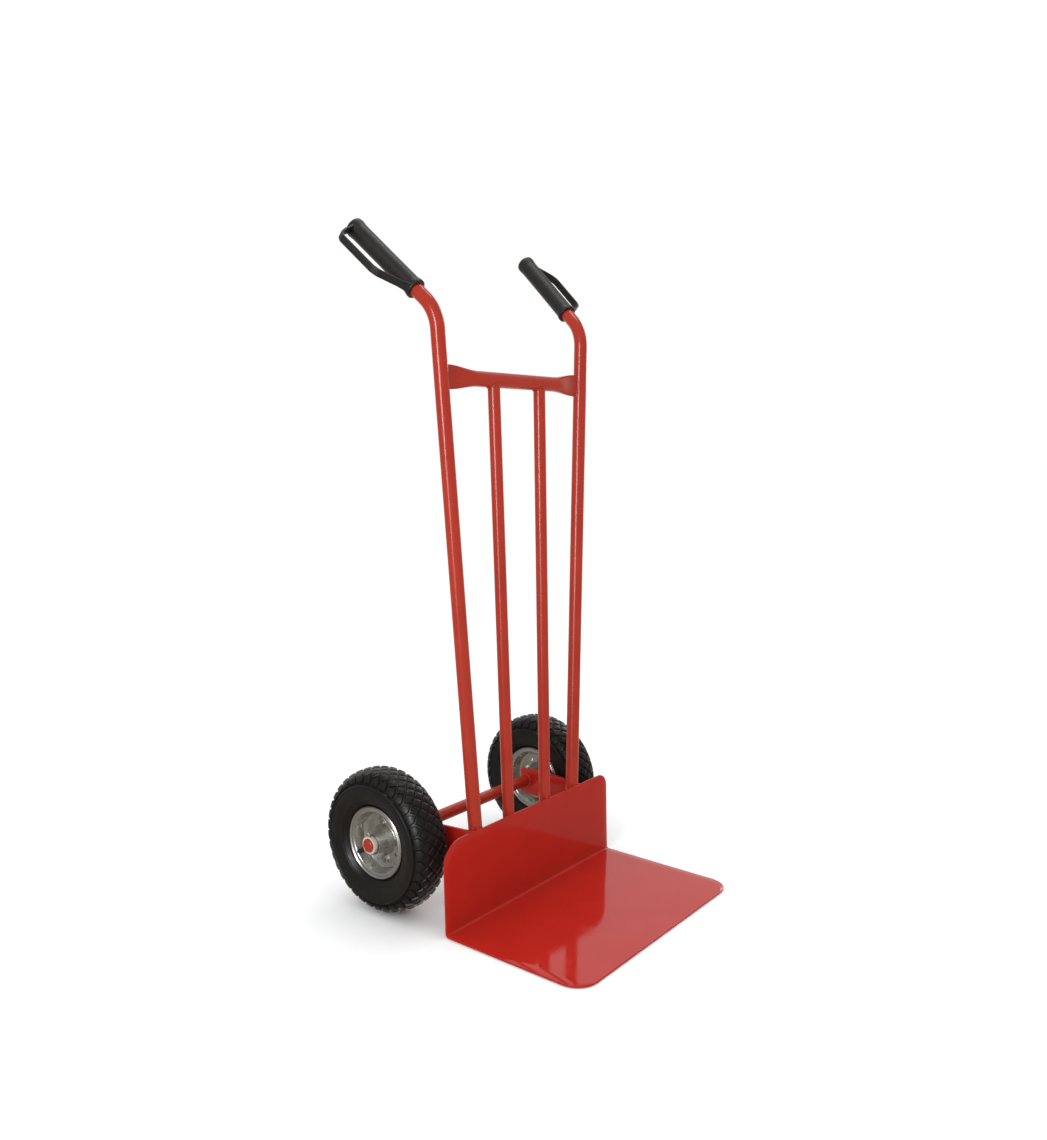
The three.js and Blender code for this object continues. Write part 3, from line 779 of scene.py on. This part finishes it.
def lifted(x, place, normal, wave):
    """A point of the sheet, moved out by the slight waves that rolling leaves in it."""
    out = place + normal * wave * (1 + sin(x / 37 + place.x / 90))
    return (x, out.x, out.y)


def make_toe_plate():
    rows, total, middle = plate_rows()
    shape = Shape()
    layers = ([], [])
    for s in rows:
        point, normal = middle(s)
        front = corner_inset(s, PLATE_CORNER)
        left = PLATE_WIDTH / 2 - front - corner_inset(total - s, FLANGE_CORNER["left"])
        right = PLATE_WIDTH / 2 - front - corner_inset(total - s, FLANGE_CORNER["right"])
        wave = PLATE_WAVE * (1 + sin(s / 31 + 0.6))
        across = [-left + (left + right) * i / PLATE_COLUMNS for i in range(PLATE_COLUMNS + 1)]
        for layer, offset in zip(layers, (SHEET / 2, -SHEET / 2)):
            place = point + normal * offset
            layer.append(shape.loop([lifted(x, place, normal, wave) for x in across]))
    for layer in layers:
        shape.skin(layer, closed=False)
    upper, lower = layers
    for end in (0, -1):
        shape.bridge(upper[end], lower[end], closed=False)
    for edge in (0, -1):
        shape.bridge([row[edge] for row in upper], [row[edge] for row in lower], closed=False)
    plate = make_object("toe_plate_sheet", shape, DESIGN)
    round_edges(plate, 0.45)
    dress(plate, "frame", "red_sheet", "toe_plate")


# ---------------------------------------------------------------- back
def upright_at(height):
    return Vector((TUBE_FOOT_X + TUBE_SPREAD * (height - TUBE_FOOT), TUBE_Y, height))


def inner_at(height):
    return Vector((INNER_FOOT_X + INNER_SPREAD * (height - TUBE_FOOT), INNER_Y, height))


HANDLE_CORNER = upright_at(BEND_HEIGHT)
HANDLE_FLAT = cos(HANDLE_PITCH)
HANDLE_DIRECTION = Vector(
    (HANDLE_FLAT * sin(HANDLE_SPLAY), HANDLE_FLAT * cos(HANDLE_SPLAY), sin(HANDLE_PITCH))
)


def even_straights(points, spacing=40):
    """The same path with extra points on its long straights."""
    result = [points[0]]
    for first, second in zip(points, points[1:]):
        count = max(1, round((second - first).length / spacing))
        result += [first.lerp(second, i / count) for i in range(1, count + 1)]
    return result


def make_upright(side):
    end = HANDLE_CORNER + HANDLE_DIRECTION * HANDLE_LENGTH
    line = bent_line(upright_at(TUBE_FOOT), HANDLE_CORNER, end, HANDLE_BEND_RADIUS)
    tube = sweep(even_straights(line), TUBE_RADIUS, 48, TUBE_WALL)
    made = make_object(f"{side}_upright_tube", tube, on_side(side, BACK))
    dress(made, "frame", "red_tube", f"{side}_upright")


def make_inner_upright(side):
    line = even_straights([inner_at(TUBE_FOOT), inner_at(CROSSBAR_HEIGHT)])
    tube = sweep(line, INNER_RADIUS, 44, INNER_WALL)
    made = make_object(f"{side}_inner_tube", tube, on_side(side, BACK))
    saddle = cylinder(CROSSBAR_RADIUS - 0.2, -PLATE_WIDTH / 2, PLATE_WIDTH / 2, 64)
    where = BACK @ Matrix.Translation((0, TUBE_Y, CROSSBAR_HEIGHT))
    combine(made, [make_object("saddle", saddle, where)])
    dress(made, "frame", "red_tube", f"{side}_inner_upright")


def smoothstep(value, start, end):
    t = min(max((value - start) / (end - start), 0), 1)
    return t * t * (3 - 2 * t)


def crossbar_section(x, depth, sides=56):
    """The crossbar's outline at x, in (y, z), at a depth below its outer skin."""
    flat = smoothstep(abs(x), TAPER_START, TAB_START)
    half_y = CROSSBAR_RADIUS + (TAB_HALF_THICKNESS - CROSSBAR_RADIUS) * flat - depth
    half_z = CROSSBAR_RADIUS + (TAB_HALF_HEIGHT - CROSSBAR_RADIUS) * flat - depth
    power = 1 - 0.25 * flat  # squarer where it is pressed flat
    points = []
    for angle in turns(sides):
        c, s = cos(angle), sin(angle)
        y = copysign(abs(c) ** power, c) * half_y
        z = copysign(abs(s) ** power, s) * half_z
        points.append((x, TUBE_Y + y, CROSSBAR_HEIGHT + z))
    return points


def make_crossbar():
    taper = [TAPER_START + (TAB_START - TAPER_START) * i / 16 for i in range(17)]
    half = [0, 40, 80, 100, *taper, CROSSBAR_REACH]
    stations = [-x for x in half[:0:-1]] + half
    shape = Shape()
    outer = [shape.loop(crossbar_section(x, 0)) for x in stations]
    inner = [shape.loop(crossbar_section(x, CROSSBAR_WALL)) for x in stations]
    shape.tube(outer, inner)
    made = make_object("crossbar_tube", shape, BACK)
    cope = sweep([upright_at(850), upright_at(1000)], TUBE_RADIUS - 0.2, 64)
    combine(made, [make_object("cope", cope, on_side(side, BACK)) for side in SIDES])
    dress(made, "frame", "red_tube", "crossbar")


def tab_weld(side):
    """Round the pressed end of the crossbar, where it meets the upright."""
    points = []
    for _, y, z in crossbar_section(CROSSBAR_REACH, -0.6, 40):
        axis = upright_at(z)
        offset = y - TUBE_Y
        points.append((axis.x - sqrt(TUBE_RADIUS**2 - offset**2) - 0.4, y, z))
    weld(f"{side}_tab_weld", points, 1.9, X_AXIS, on_side(side, BACK), True)


def saddle_weld(side):
    """Round the top of an inner upright, under the crossbar."""
    axis = inner_at(CROSSBAR_HEIGHT - CROSSBAR_RADIUS)
    radius = INNER_RADIUS + 0.4
    points = []
    for angle in turns(48):
        y = INNER_Y + radius * sin(angle)
        drop = sqrt(CROSSBAR_RADIUS**2 - min(abs(y - TUBE_Y), INNER_RADIUS) ** 2)
        points.append((axis.x + radius * cos(angle), y, CROSSBAR_HEIGHT - drop - 0.8))
    weld(f"{side}_saddle_weld", points, 1.7, Z_AXIS, on_side(side, BACK), True)


def foot_welds(side):
    """Stitches down both sides of each tube, in the groove that it makes with the flange."""
    tubes = (("upright", upright_at, TUBE_RADIUS), ("inner", inner_at, INNER_RADIUS))
    stitches = (("low", 22, 62), ("high", 112, FLANGE_HEIGHT + 1))
    for name, at, radius in tubes:
        for place, low, high in stitches:
            for label, edge in (("inner", -1), ("outer", 1)):
                groove = Vector((edge * radius * 0.42, -radius * 0.86, 0))
                points = [at(low) + groove, at(high) + groove]
                bead = f"{side}_{name}_{place}_{label}_weld"
                weld(bead, points, 2.4, X_AXIS, on_side(side, BACK))


# ---------------------------------------------------------------- grips
def grip_matrix(side):
    """Local Y along the handle from the open end, local X outboard."""
    outward = (X_AXIS - HANDLE_DIRECTION * HANDLE_DIRECTION.x).normalized()
    across = outward.cross(HANDLE_DIRECTION)
    turn = Matrix((outward, HANDLE_DIRECTION, across)).transposed().to_4x4()
    place = Matrix.Translation(HANDLE_CORNER + HANDLE_DIRECTION * GRIP_OFFSET)
    return on_side(side, BACK @ place @ turn)


X_TO_Y = Matrix.Rotation(pi / 2, 4, "Z")


def strap_section(width, thickness, corner=1.3, steps=4):
    half_w, half_t = width / 2, thickness / 2
    corners = [(half_t, half_w), (-half_t, half_w), (-half_t, -half_w), (half_t, -half_w)]
    return closed_fillet(corners, corner, steps)


def make_grip(side):
    """A closed sleeve, and a strap off its outer side that guards the knuckles."""
    bore = TUBE_RADIUS + 0.1
    bottom = GRIP_LENGTH - GRIP_END
    body = [(bore, 0), (COLLAR_RADIUS, 0), (COLLAR_RADIUS, 5), (GRIP_RADIUS + 0.1, 14)]
    body += [(GRIP_RADIUS - 0.1, GRIP_LENGTH / 2), (GRIP_RADIUS + 0.1, GRIP_LENGTH - 17)]
    body += [(COLLAR_RADIUS - 0.7, GRIP_LENGTH - 7), (COLLAR_RADIUS - 1.2, GRIP_LENGTH)]
    profile = [(0, bottom), (bore, bottom), *filleted([*body, (0, GRIP_LENGTH)], 2.4)]
    matrix = grip_matrix(side)
    sleeve = make_object(f"{side}_grip_moulding", lathe(profile, 96), matrix @ X_TO_Y)
    guard = [(bore + 1.4, 4), (24, 11), (GUARD_REACH - 5, 40), (GUARD_REACH, 51)]
    guard += [(GUARD_REACH, 129), (GUARD_REACH - 7, 140), (38, 151), (bore + 1.4, 160)]
    path = resampled([(x, y, 0) for x, y in filleted(guard, 9, 5)], 2.5)
    section = strap_section(GUARD_WIDTH, GUARD_THICKNESS)
    shape = Shape()
    rings = []
    for i, (point, along_x, along_z) in enumerate(frames_along(path, Z_AXIS)):
        ends = min(i, len(path) - 1 - i) / 10
        swell = 1 + 0.35 * max(0, 1 - ends) ** 2  # the strap spreads where it joins the sleeve
        ring = [point + along_x * t * swell + along_z * w * swell for t, w in section]
        rings.append(shape.loop(ring))
    shape.rod(rings, path)
    strap = make_object("strap", shape, matrix)
    combine(strap, [hole(bore, -3, bottom, matrix @ X_TO_Y, 64)])
    combine(sleeve, [strap], "UNION", 50)
    dress(sleeve, "frame", "grip_plastic", f"{side}_grip")


# ---------------------------------------------------------------- axle group
UPRIGHT = Matrix.Rotation(pi / 2, 4, "Y")


def make_axle():
    """A bar with chamfered and slightly dished ends, drilled for the split pins."""
    dish = [(0, AXLE_REACH - 2.4), (AXLE_RADIUS - 4, AXLE_REACH - 2)]
    rim = [(AXLE_RADIUS - 2.6, AXLE_REACH), (AXLE_RADIUS - AXLE_CHAMFER, AXLE_REACH)]
    half = [*dish, *rim, (AXLE_RADIUS, AXLE_REACH - AXLE_CHAMFER)]
    profile = [(r, -x) for r, x in half] + half[::-1]
    made = make_object("axle_bar", lathe(profile, 64), at_axle())
    combine(made, [hole(PIN_HOLE, -20, 20, at_axle(x) @ UPRIGHT) for x in (-PIN_X, PIN_X)])
    round_edges(made, 0.25)
    dress(made, "frame", "red_tube", "axle")


BRACKET_Y = TUBE_Y * cos(LEAN) + BRACKET_TOP * sin(LEAN)  # of its middle, beside the tube


def bracket_matrix(side):
    """Local X along the bracket towards the axle, local Y up."""
    along = Vector((sin(BRACKET_SPLAY), cos(BRACKET_SPLAY), 0))
    outward = Vector((cos(BRACKET_SPLAY), -sin(BRACKET_SPLAY), 0))
    turn = Matrix((along, Z_AXIS, outward)).transposed().to_4x4()
    return on_side(side, DESIGN @ Matrix.Translation((BRACKET_X, BRACKET_Y, 0)) @ turn)


def make_bracket(side):
    rear_top = BRACKET_TOP - BRACKET_DROP
    rear_bottom = BRACKET_BOTTOM - BRACKET_DROP
    behind = BRACKET_KNEE + 1
    rear = [(behind, rear_bottom), (BRACKET_REAR, rear_bottom), (BRACKET_REAR, rear_top)]
    rear.append((behind, rear_top + 0.05))
    corners = [(-BRACKET_FRONT, BRACKET_BOTTOM), (BRACKET_KNEE, rear_bottom)]
    corners += filleted(rear, BRACKET_CORNER)[1:-1]
    corners += [(BRACKET_KNEE, BRACKET_TOP), (-BRACKET_FRONT, BRACKET_TOP)]
    bar = extrusion(corners, 0, BRACKET_THICKNESS)
    made = make_object(f"{side}_bracket_bar", bar, bracket_matrix(side))
    combine(made, [hole(AXLE_RADIUS + 0.2, 100, 229, on_side(side, at_axle()), 48)])
    round_edges(made, 0.5)
    dress(made, "frame", "red_sheet", f"{side}_axle_bracket")


def bracket_welds(side):
    """Two upright beads beside the tube, and a ring round the axle on the inboard face."""
    for label, s in (("front", -7.5), ("rear", 7.5)):
        points = [(s, BRACKET_BOTTOM + 3, -0.2), (s, BRACKET_TOP - 3, -0.2)]
        weld(f"{side}_bracket_{label}_weld", points, 2.6, Z_AXIS, bracket_matrix(side))
    radius = AXLE_RADIUS + 0.6
    points = []
    for angle in turns(40):
        y = AXLE_Y + radius * cos(angle)
        x = BRACKET_X + (y - BRACKET_Y) * tan(BRACKET_SPLAY) - 0.5
        points.append((x, y, WHEEL_RADIUS + radius * sin(angle)))
    weld(f"{side}_axle_weld", points, 2.3, X_AXIS, on_side(side, DESIGN), True)


def make_ring(node, name, edge, segments):
    """A ring around the axle, its edges rounded."""
    middle, length = node_place(node)
    bore, half = AXLE_RADIUS + 0.4, length / 2
    corners = [(bore, -half), (WASHER_RADIUS, -half), (WASHER_RADIUS, half), (bore, half)]
    ring = lathe(closed_fillet(corners, edge, 3), segments)
    return make_object(name, ring, Matrix.Translation(middle))


def make_washer(side):
    made = make_ring(f"{side}_inner_washer", f"{side}_washer_disc", 0.5, 64)
    dress(made, "frame", "zinc", f"{side}_inner_washer")


def make_axle_collar(side):
    """The ring that keeps the wheel on, drilled for the split pin."""
    made = make_ring(f"{side}_axle_collar", f"{side}_collar_ring", 0.9, 80)
    place = at_axle(copysign(PIN_X, WHEEL_MIDDLE[side].x))
    combine(made, [hole(PIN_HOLE, -20, 20, place @ UPRIGHT)])
    dress(made, "frame", "zinc", f"{side}_axle_collar")
    made.data.materials[0] = DULL_ZINC


def make_split_pin(side):
    """A wire that runs up one leg from its bent tip, round the eye, and back down the other."""
    leg = PIN_WIRE + 0.1
    opening = asin(leg / PIN_EYE)
    line = [*PIN_TIPS[0], (leg, PIN_BEND), (leg, -PIN_NECK)]
    for i in range(PIN_EYE_STEPS + 1):
        angle = pi / 2 - opening - (2 * pi - 2 * opening) * i / PIN_EYE_STEPS
        line.append((PIN_EYE * cos(angle), -PIN_EYE_DROP + PIN_EYE * sin(angle)))
    line += [(-leg, -PIN_NECK), (-leg, PIN_BEND), *PIN_TIPS[1]]
    wire = sweep([Vector((0, y, z)) for y, z in line], PIN_WIRE, 14, up=X_AXIS)
    made = make_object(f"{side}_split_pin_wire", wire, on_side(side, at_axle(PIN_X)), 60)
    dress(made, "frame", "steel", f"{side}_split_pin")


# ---------------------------------------------------------------- wheels, about their own X axis
def wheel_matrix(side):
    """Local +X is outboard."""
    facing = MIRROR if side == "left" else Matrix.Identity(4)
    return Matrix.Translation(WHEEL_MIDDLE[side]) @ facing


def around(angle):
    """A turn about the axle that carries the top to an angle towards the front."""
    return Matrix.Rotation(radians(angle), 4, "X")


def tyre_section():
    """Outside of the tyre from the crown to the bead, as (radius, x) at even steps."""
    line = []
    for i in range(61):
        angle = radians(90 - 90 * i / 60)
        rise = (WHEEL_RADIUS - TYRE_MIDDLE) * sin(angle) ** TYRE_POWER
        x = TYRE_HALF_WIDTH * cos(angle) ** TYRE_POWER
        line.append(Vector((TYRE_MIDDLE + rise, x)))
    wall = [(TYRE_MIDDLE - 1, TYRE_HALF_WIDTH), (78, 35.5), (69.5, 27.4), (68.4, 25.6)]
    return line + filleted(wall, 8)


class Section:
    """The crown's profile, measured along itself from the middle."""

    def __init__(self, line):
        self.line = line
        self.lengths = distances(line)

    def at(self, distance, height):
        """(radius, x) at a distance from the middle, raised by a height."""
        k, t = locate(self.lengths, abs(distance))
        point = self.line[k].lerp(self.line[k + 1], t)
        tangent = self.smooth_tangent(k, t)
        normal = Vector((-tangent.y, tangent.x))
        if normal.dot(point - Vector((TYRE_MIDDLE, 0))) < 0:
            normal = -normal
        point = point + normal * height
        return point.x, copysign(point.y, distance) if distance else 0

    def smooth_tangent(self, k, t):
        last = len(self.line) - 1
        here = (self.line[k + 1] - self.line[max(k - 1, 0)]).normalized()
        there = (self.line[min(k + 2, last)] - self.line[k]).normalized()
        return here.lerp(there, t).normalized()


SHOULDER = (TREAD_ROWS + 1) * TREAD_ROW
SHOULDER_SHIFT = 0.5 * ((TREAD_ROWS + 1) % 2)
TREAD_REACH = SHOULDER + SHOULDER_LUG
EDGE_STEPS = 3
WALL_STEPS = 70
PITCH = 2 * pi / TREAD_PITCHES


def tread_depth(distance):
    deeper = smoothstep(abs(distance), SHOULDER - 1.5 * TREAD_ROW, SHOULDER)
    return TREAD_DEPTH["crown"] + (TREAD_DEPTH["shoulder"] - TREAD_DEPTH["crown"]) * deeper


def tread_cells():
    """Each block's groove and its corners, as (turn in pitches, distance along the section)."""
    cells = []
    for row in range(-TREAD_ROWS, TREAD_ROWS + 1):
        middle = row * TREAD_ROW
        for i in range(TREAD_PITCHES):
            turn = i + 0.5 * (row % 2)
            corners = [(turn - 0.5, middle), (turn, middle - TREAD_ROW)]
            corners += [(turn + 0.5, middle), (turn, middle + TREAD_ROW)]
            cells.append((GROOVE, corners))
    for sign in (-1, 1):
        for i in range(TREAD_PITCHES):
            turn = i + SHOULDER_SHIFT
            corners = [(turn - 0.5, SHOULDER * sign), (turn, (SHOULDER - TREAD_ROW) * sign)]
            corners += [(turn + 0.5, SHOULDER * sign), (turn + 0.5, TREAD_REACH * sign)]
            corners += [(turn - 0.5, TREAD_REACH * sign)]
            cells.append((SHOULDER_GROOVE, corners))
    return cells


def split_edges(corners):
    points = []
    for first, second in zip(corners, corners[1:] + corners[:1]):
        for k in range(EDGE_STEPS):
            points.append(Vector(first).lerp(Vector(second), k / EDGE_STEPS))
    return points


def about_axle(radius, x, turn):
    """A point of a wheel at a turn, in pitches."""
    return (x, -radius * sin(turn * PITCH), radius * cos(turn * PITCH))


def make_tyre(side):
    section = Section(tyre_section())
    shape = Shape()

    def place(turn, distance, height):
        """A point over a turn; a negative height is a share of the tread's depth."""
        if height < 0:
            height *= tread_depth(distance)
        return about_axle(*section.at(distance, height), turn)

    # the blocks stand on a floor that lies below the tyre's outer skin, and meet along it
    for groove, corners in tread_cells():
        outline = split_edges(corners)
        centre = Vector((0, 0))
        for point in outline:
            centre += point / len(outline)
        across = [point - centre for point in outline]
        inner = min(Vector((v.x * WHEEL_RADIUS * PITCH, v.y)).length for v in across)
        rings = []
        for inset, height in ((0, -1), (groove, -1), (groove + 0.8, -0.25), (groove + 1.5, 0)):
            ring = [centre + v * (1 - inset / inner) for v in across]
            rings.append(shape.loop([place(*point, height) for point in ring]))
        rings.append(shape.loop([place(*(centre + v * 0.35), 0.15) for v in across]))
        shape.skin(rings)
        shape.cap(rings[-1], shape.add(place(*centre, 0.2)))

    # the walls and the inside, turned on the same steps as the tread's edge
    inside = filleted(TYRE_INSIDE, 4, 4)
    half = wall_profile(section, TREAD_REACH, section.lengths[-1]) + [tuple(p) for p in inside]
    first = SHOULDER_SHIFT - 0.5
    steps = [i + first + k / EDGE_STEPS for i in range(TREAD_PITCHES) for k in range(EDGE_STEPS)]
    for sign in (-1, 1):
        rings = []
        for radius, x in half:
            rings.append(shape.loop([about_axle(radius, x * sign, turn) for turn in steps]))
        shape.skin(rings)
    made = make_object(f"{side}_tyre_carcass", shape, wheel_matrix(side), 38)
    dress(made, f"{side}_wheel", "tyre", f"{side}_tyre")


def wall_profile(section, start, end):
    """The side wall from the tread's edge to the bead, with moulded rings standing on it."""
    rings = ((start + 4, 1.6, 1.5), (start + 10, 1.2, 0.4), (end - 13, 2.0, 0.7))
    profile = []
    for i in range(WALL_STEPS + 1):
        distance = start + (end - start) * i / WALL_STEPS
        height = -tread_depth(start) * (1 - smoothstep(distance, start, start + 2.4))
        for middle, width, rise in rings:  # width is half of the ring's own
            height += rise * max(0, 1 - abs(distance - middle) / width) ** 0.6
        profile.append(section.at(distance, height))
    return profile


def rim_profile():
    """A pressed rim half, from its neck over the disc to the lip, as a closed outline."""
    neck = HUB_RADIUS + GAP + RIM_SHEET / 2
    line = [(neck, HUB_HALF_LENGTH - 1), (neck + 0.6, 13), (27, RIM_DISC), (45, RIM_DISC)]
    line += [(51.4, 5), (53.4, 19.5), (55.6, 24.8), (58.6, 26.3)]
    line += [(60.8, 24.9), (62.8, 24.9), (65, 27.2)]
    return sheet_outline(filleted(line, 3.4), RIM_SHEET)


def make_rim(side, half):
    """One pressed half with its bolt holes, vents and, on the outer half, the valve's hole."""
    flip = Matrix.Identity(4) if half == "outer" else MIRROR
    matrix = wheel_matrix(side)
    pressing = lathe(rim_profile(), 120)
    made = make_object(f"{side}_{half}_rim_pressing", pressing, matrix @ flip, 40)
    turn = WHEEL_TURN[side]
    out = Matrix.Translation((0, 0, BOLT_CIRCLE))
    holes = []
    for i in range(4):
        for angle, radius in ((90 * i, BOLT_RADIUS + 0.3), (45 + 90 * i, VENT_RADIUS)):
            move = around(turn + angle) @ out
            holes.append(hole(radius, -4, 4, matrix @ move, 32))
    if half == "outer":
        move = around(turn - VALVE_BEHIND_BOLT) @ Matrix.Translation((VALVE_LEVEL, 0, 0))
        move = move @ Matrix.Rotation(-pi / 2, 4, "Y")
        holes.append(hole(VALVE_RADIUS + 0.6, 40, 60, matrix @ move))
    combine(made, holes, smooth_angle=40)
    dress(made, f"{side}_wheel", "zinc", f"{side}_{half}_rim")


def make_hub(side):
    seat = BEARING_RADIUS + 0.1
    depth = HUB_HALF_LENGTH - BEARING_WIDTH
    end = HUB_HALF_LENGTH
    corners = [(seat, -end), (HUB_RADIUS, -end), (HUB_RADIUS, end), (seat, end)]
    corners += [(seat, depth), (HUB_BORE, depth), (HUB_BORE, -depth), (seat, -depth)]
    sleeve = lathe(closed_fillet(corners, 0.4, 3), 80)
    made = make_object(f"{side}_hub_sleeve", sleeve, wheel_matrix(side))
    dress(made, f"{side}_wheel", "steel", f"{side}_hub_tube")


def make_bearing(side, place):
    """Outer race, recessed shield and inner race in one section."""
    middle, length = node_place(f"{side}_{place}_bearing")
    bore, half = AXLE_RADIUS + 0.5, length / 2
    shield = half - 0.8
    face = [(bore, half), (bore + 1.6, half), (bore + 1.8, shield), (BEARING_RADIUS - 1.6, shield)]
    face += [(BEARING_RADIUS - 1.4, half), (BEARING_RADIUS, half)]
    profile = face + [(r, -x) for r, x in reversed(face)]
    made = make_object(f"{side}_{place}_race", lathe(profile, 64), Matrix.Translation(middle))
    dress(made, f"{side}_wheel", "steel", f"{side}_{place}_bearing")


def hexagon(radius, low, high):
    """A hexagonal prism along X."""
    shape = extrusion([(radius * cos(a), radius * sin(a)) for a in turns(6)], low, high)
    shape.vertices = [Vector((v.z, v.x, v.y)) for v in shape.vertices]
    return shape


def chamfered_hexagon(name, low, high, chamfer_low, matrix):
    """A hexagon whose corners are turned off at 30 degrees on one face or both."""
    inner, outer = BOLT_HEX * 0.86, BOLT_HEX + 0.1
    fall = (outer - inner) * tan(radians(30))
    start = [(inner, low), (outer, low + fall)] if chamfer_low else [(outer, low), (outer, low)]
    profile = [(0, low), *start, (outer, high - fall), (inner, high), (0, high)]
    made = make_object(name, hexagon(BOLT_HEX, low, high), matrix)
    combine(made, [make_object("turned", lathe(profile, 48), matrix)], "INTERSECT", 25)
    return made


def threaded(start, end, radius):
    """Profile points of a thread from start to end along X."""
    points = []
    count = round(abs(end - start) / THREAD_PITCH)
    step = (end - start) / count
    for i in range(count):
        points += [(radius, start + step * i), (radius - 0.6, start + step * (i + 0.5))]
    return points


def bolt_place(side, i):
    angle = WHEEL_TURN[side] + 90 * i
    return wheel_matrix(side) @ around(angle) @ Matrix.Translation((0, 0, BOLT_CIRCLE))


def make_bolt(side, i):
    face = RIM_DISC + RIM_SHEET / 2
    matrix = bolt_place(side, i)
    head = chamfered_hexagon(f"{side}_bolt_{i + 1}", face + 0.6, face + BOLT_HEAD, False, matrix)
    edge, top = BOLT_HEX - 0.2, face + 1.1
    flange = lathe([(0, face), (edge, face), (edge, face + 0.7), (BOLT_HEX - 1, top), (0, top)], 48)
    end = -face - NUT_HEIGHT - 3
    shank = [(0, face + 0.9), (BOLT_RADIUS, face + 0.9)]
    shank += threaded(-face - 0.5, end + 0.8, BOLT_RADIUS)
    shank += [(BOLT_RADIUS - 0.8, end), (0, end)]
    parts = [make_object("flange", flange, matrix), make_object("shank", lathe(shank, 32), matrix)]
    combine(head, parts, "UNION", 30)
    dress(head, f"{side}_wheel", "steel", f"{side}_rim_bolt_{i + 1}")


def make_nut(side, i):
    face = RIM_DISC + RIM_SHEET / 2
    matrix = bolt_place(side, i)
    nut = chamfered_hexagon(f"{side}_nut_{i + 1}", -face - NUT_HEIGHT, -face, True, matrix)
    bore = hole(BOLT_RADIUS + 0.1, -face - NUT_HEIGHT - 2, -face + 2, matrix, 32)
    combine(nut, [bore], smooth_angle=30)
    dress(nut, f"{side}_wheel", "steel", f"{side}_rim_nut_{i + 1}")


def make_valve(side):
    """The bent stem with its threaded tip, and the ribbed cap."""
    angle = WHEEL_TURN[side] - VALVE_BEHIND_BOLT
    matrix = wheel_matrix(side) @ around(angle)
    end = VALVE_LEVEL + VALVE_LENGTH
    places = ((VALVE_LEVEL, 0, VALVE_FOOT), (VALVE_LEVEL, 0, VALVE_CIRCLE), (end, 0, VALVE_CIRCLE))
    foot, corner, tip = (Vector(place) for place in places)
    path = resampled(bent_line(foot, corner, tip, VALVE_BEND, 10), 0.7)
    last = len(path) - 1

    def radius(k):
        thread = last - k < 16 and k % 2
        return VALVE_RADIUS - (0.45 if thread else 0)

    stem = make_object(f"{side}_valve_tube", sweep(path, radius, 24), matrix, 50)
    dress(stem, f"{side}_wheel", "steel", f"{side}_valve_stem")
    low = end + 0.1
    top = low + CAP_LENGTH
    outline = [(0, low), (CAP_RADIUS, low), (CAP_RADIUS, low + 3)]
    outline += [(CAP_RADIUS - 0.3, top - 3), (CAP_RADIUS - 1.2, top), (0, top)]

    def ribs(turn, x):
        return 0.22 * cos(14 * turn) if low + 1 < x < top - 2.5 else 0

    turned = lathe(filleted(outline, 1, 4), 84, ribs)
    place = matrix @ Matrix.Translation((0, 0, VALVE_CIRCLE))
    cap = make_object(f"{side}_valve_top", turned, place, 50)
    dress(cap, f"{side}_wheel", "cap_plastic", f"{side}_valve_cap")


# ---------------------------------------------------------------- the truck
def repaint_kept_nodes():
    """CAD nodes that stay as they are get the material of their slot."""
    for entry in frame["record"]["subparts"]:
        node = frame["nodes"][entry["node"]]
        node.data.materials.clear()
        node.data.materials.append(SLOT_MATERIALS[entry["material_slot"]])


def make_truck():
    repaint_kept_nodes()
    make_toe_plate()
    make_crossbar()
    make_axle()
    for side in SIDES:
        make_upright(side)
        make_inner_upright(side)
        tab_weld(side)
        saddle_weld(side)
        foot_welds(side)
        make_grip(side)
        make_bracket(side)
        bracket_welds(side)
        make_washer(side)
        make_axle_collar(side)
        make_split_pin(side)
        for place in ("inner", "outer"):
            make_bearing(side, place)
            make_rim(side, place)
        make_tyre(side)
        make_hub(side)
        make_valve(side)
        for i in range(4):
            make_bolt(side, i)
            make_nut(side, i)


make_camera()
make_world()
make_floor()
make_lights()
set_view()
make_truck()
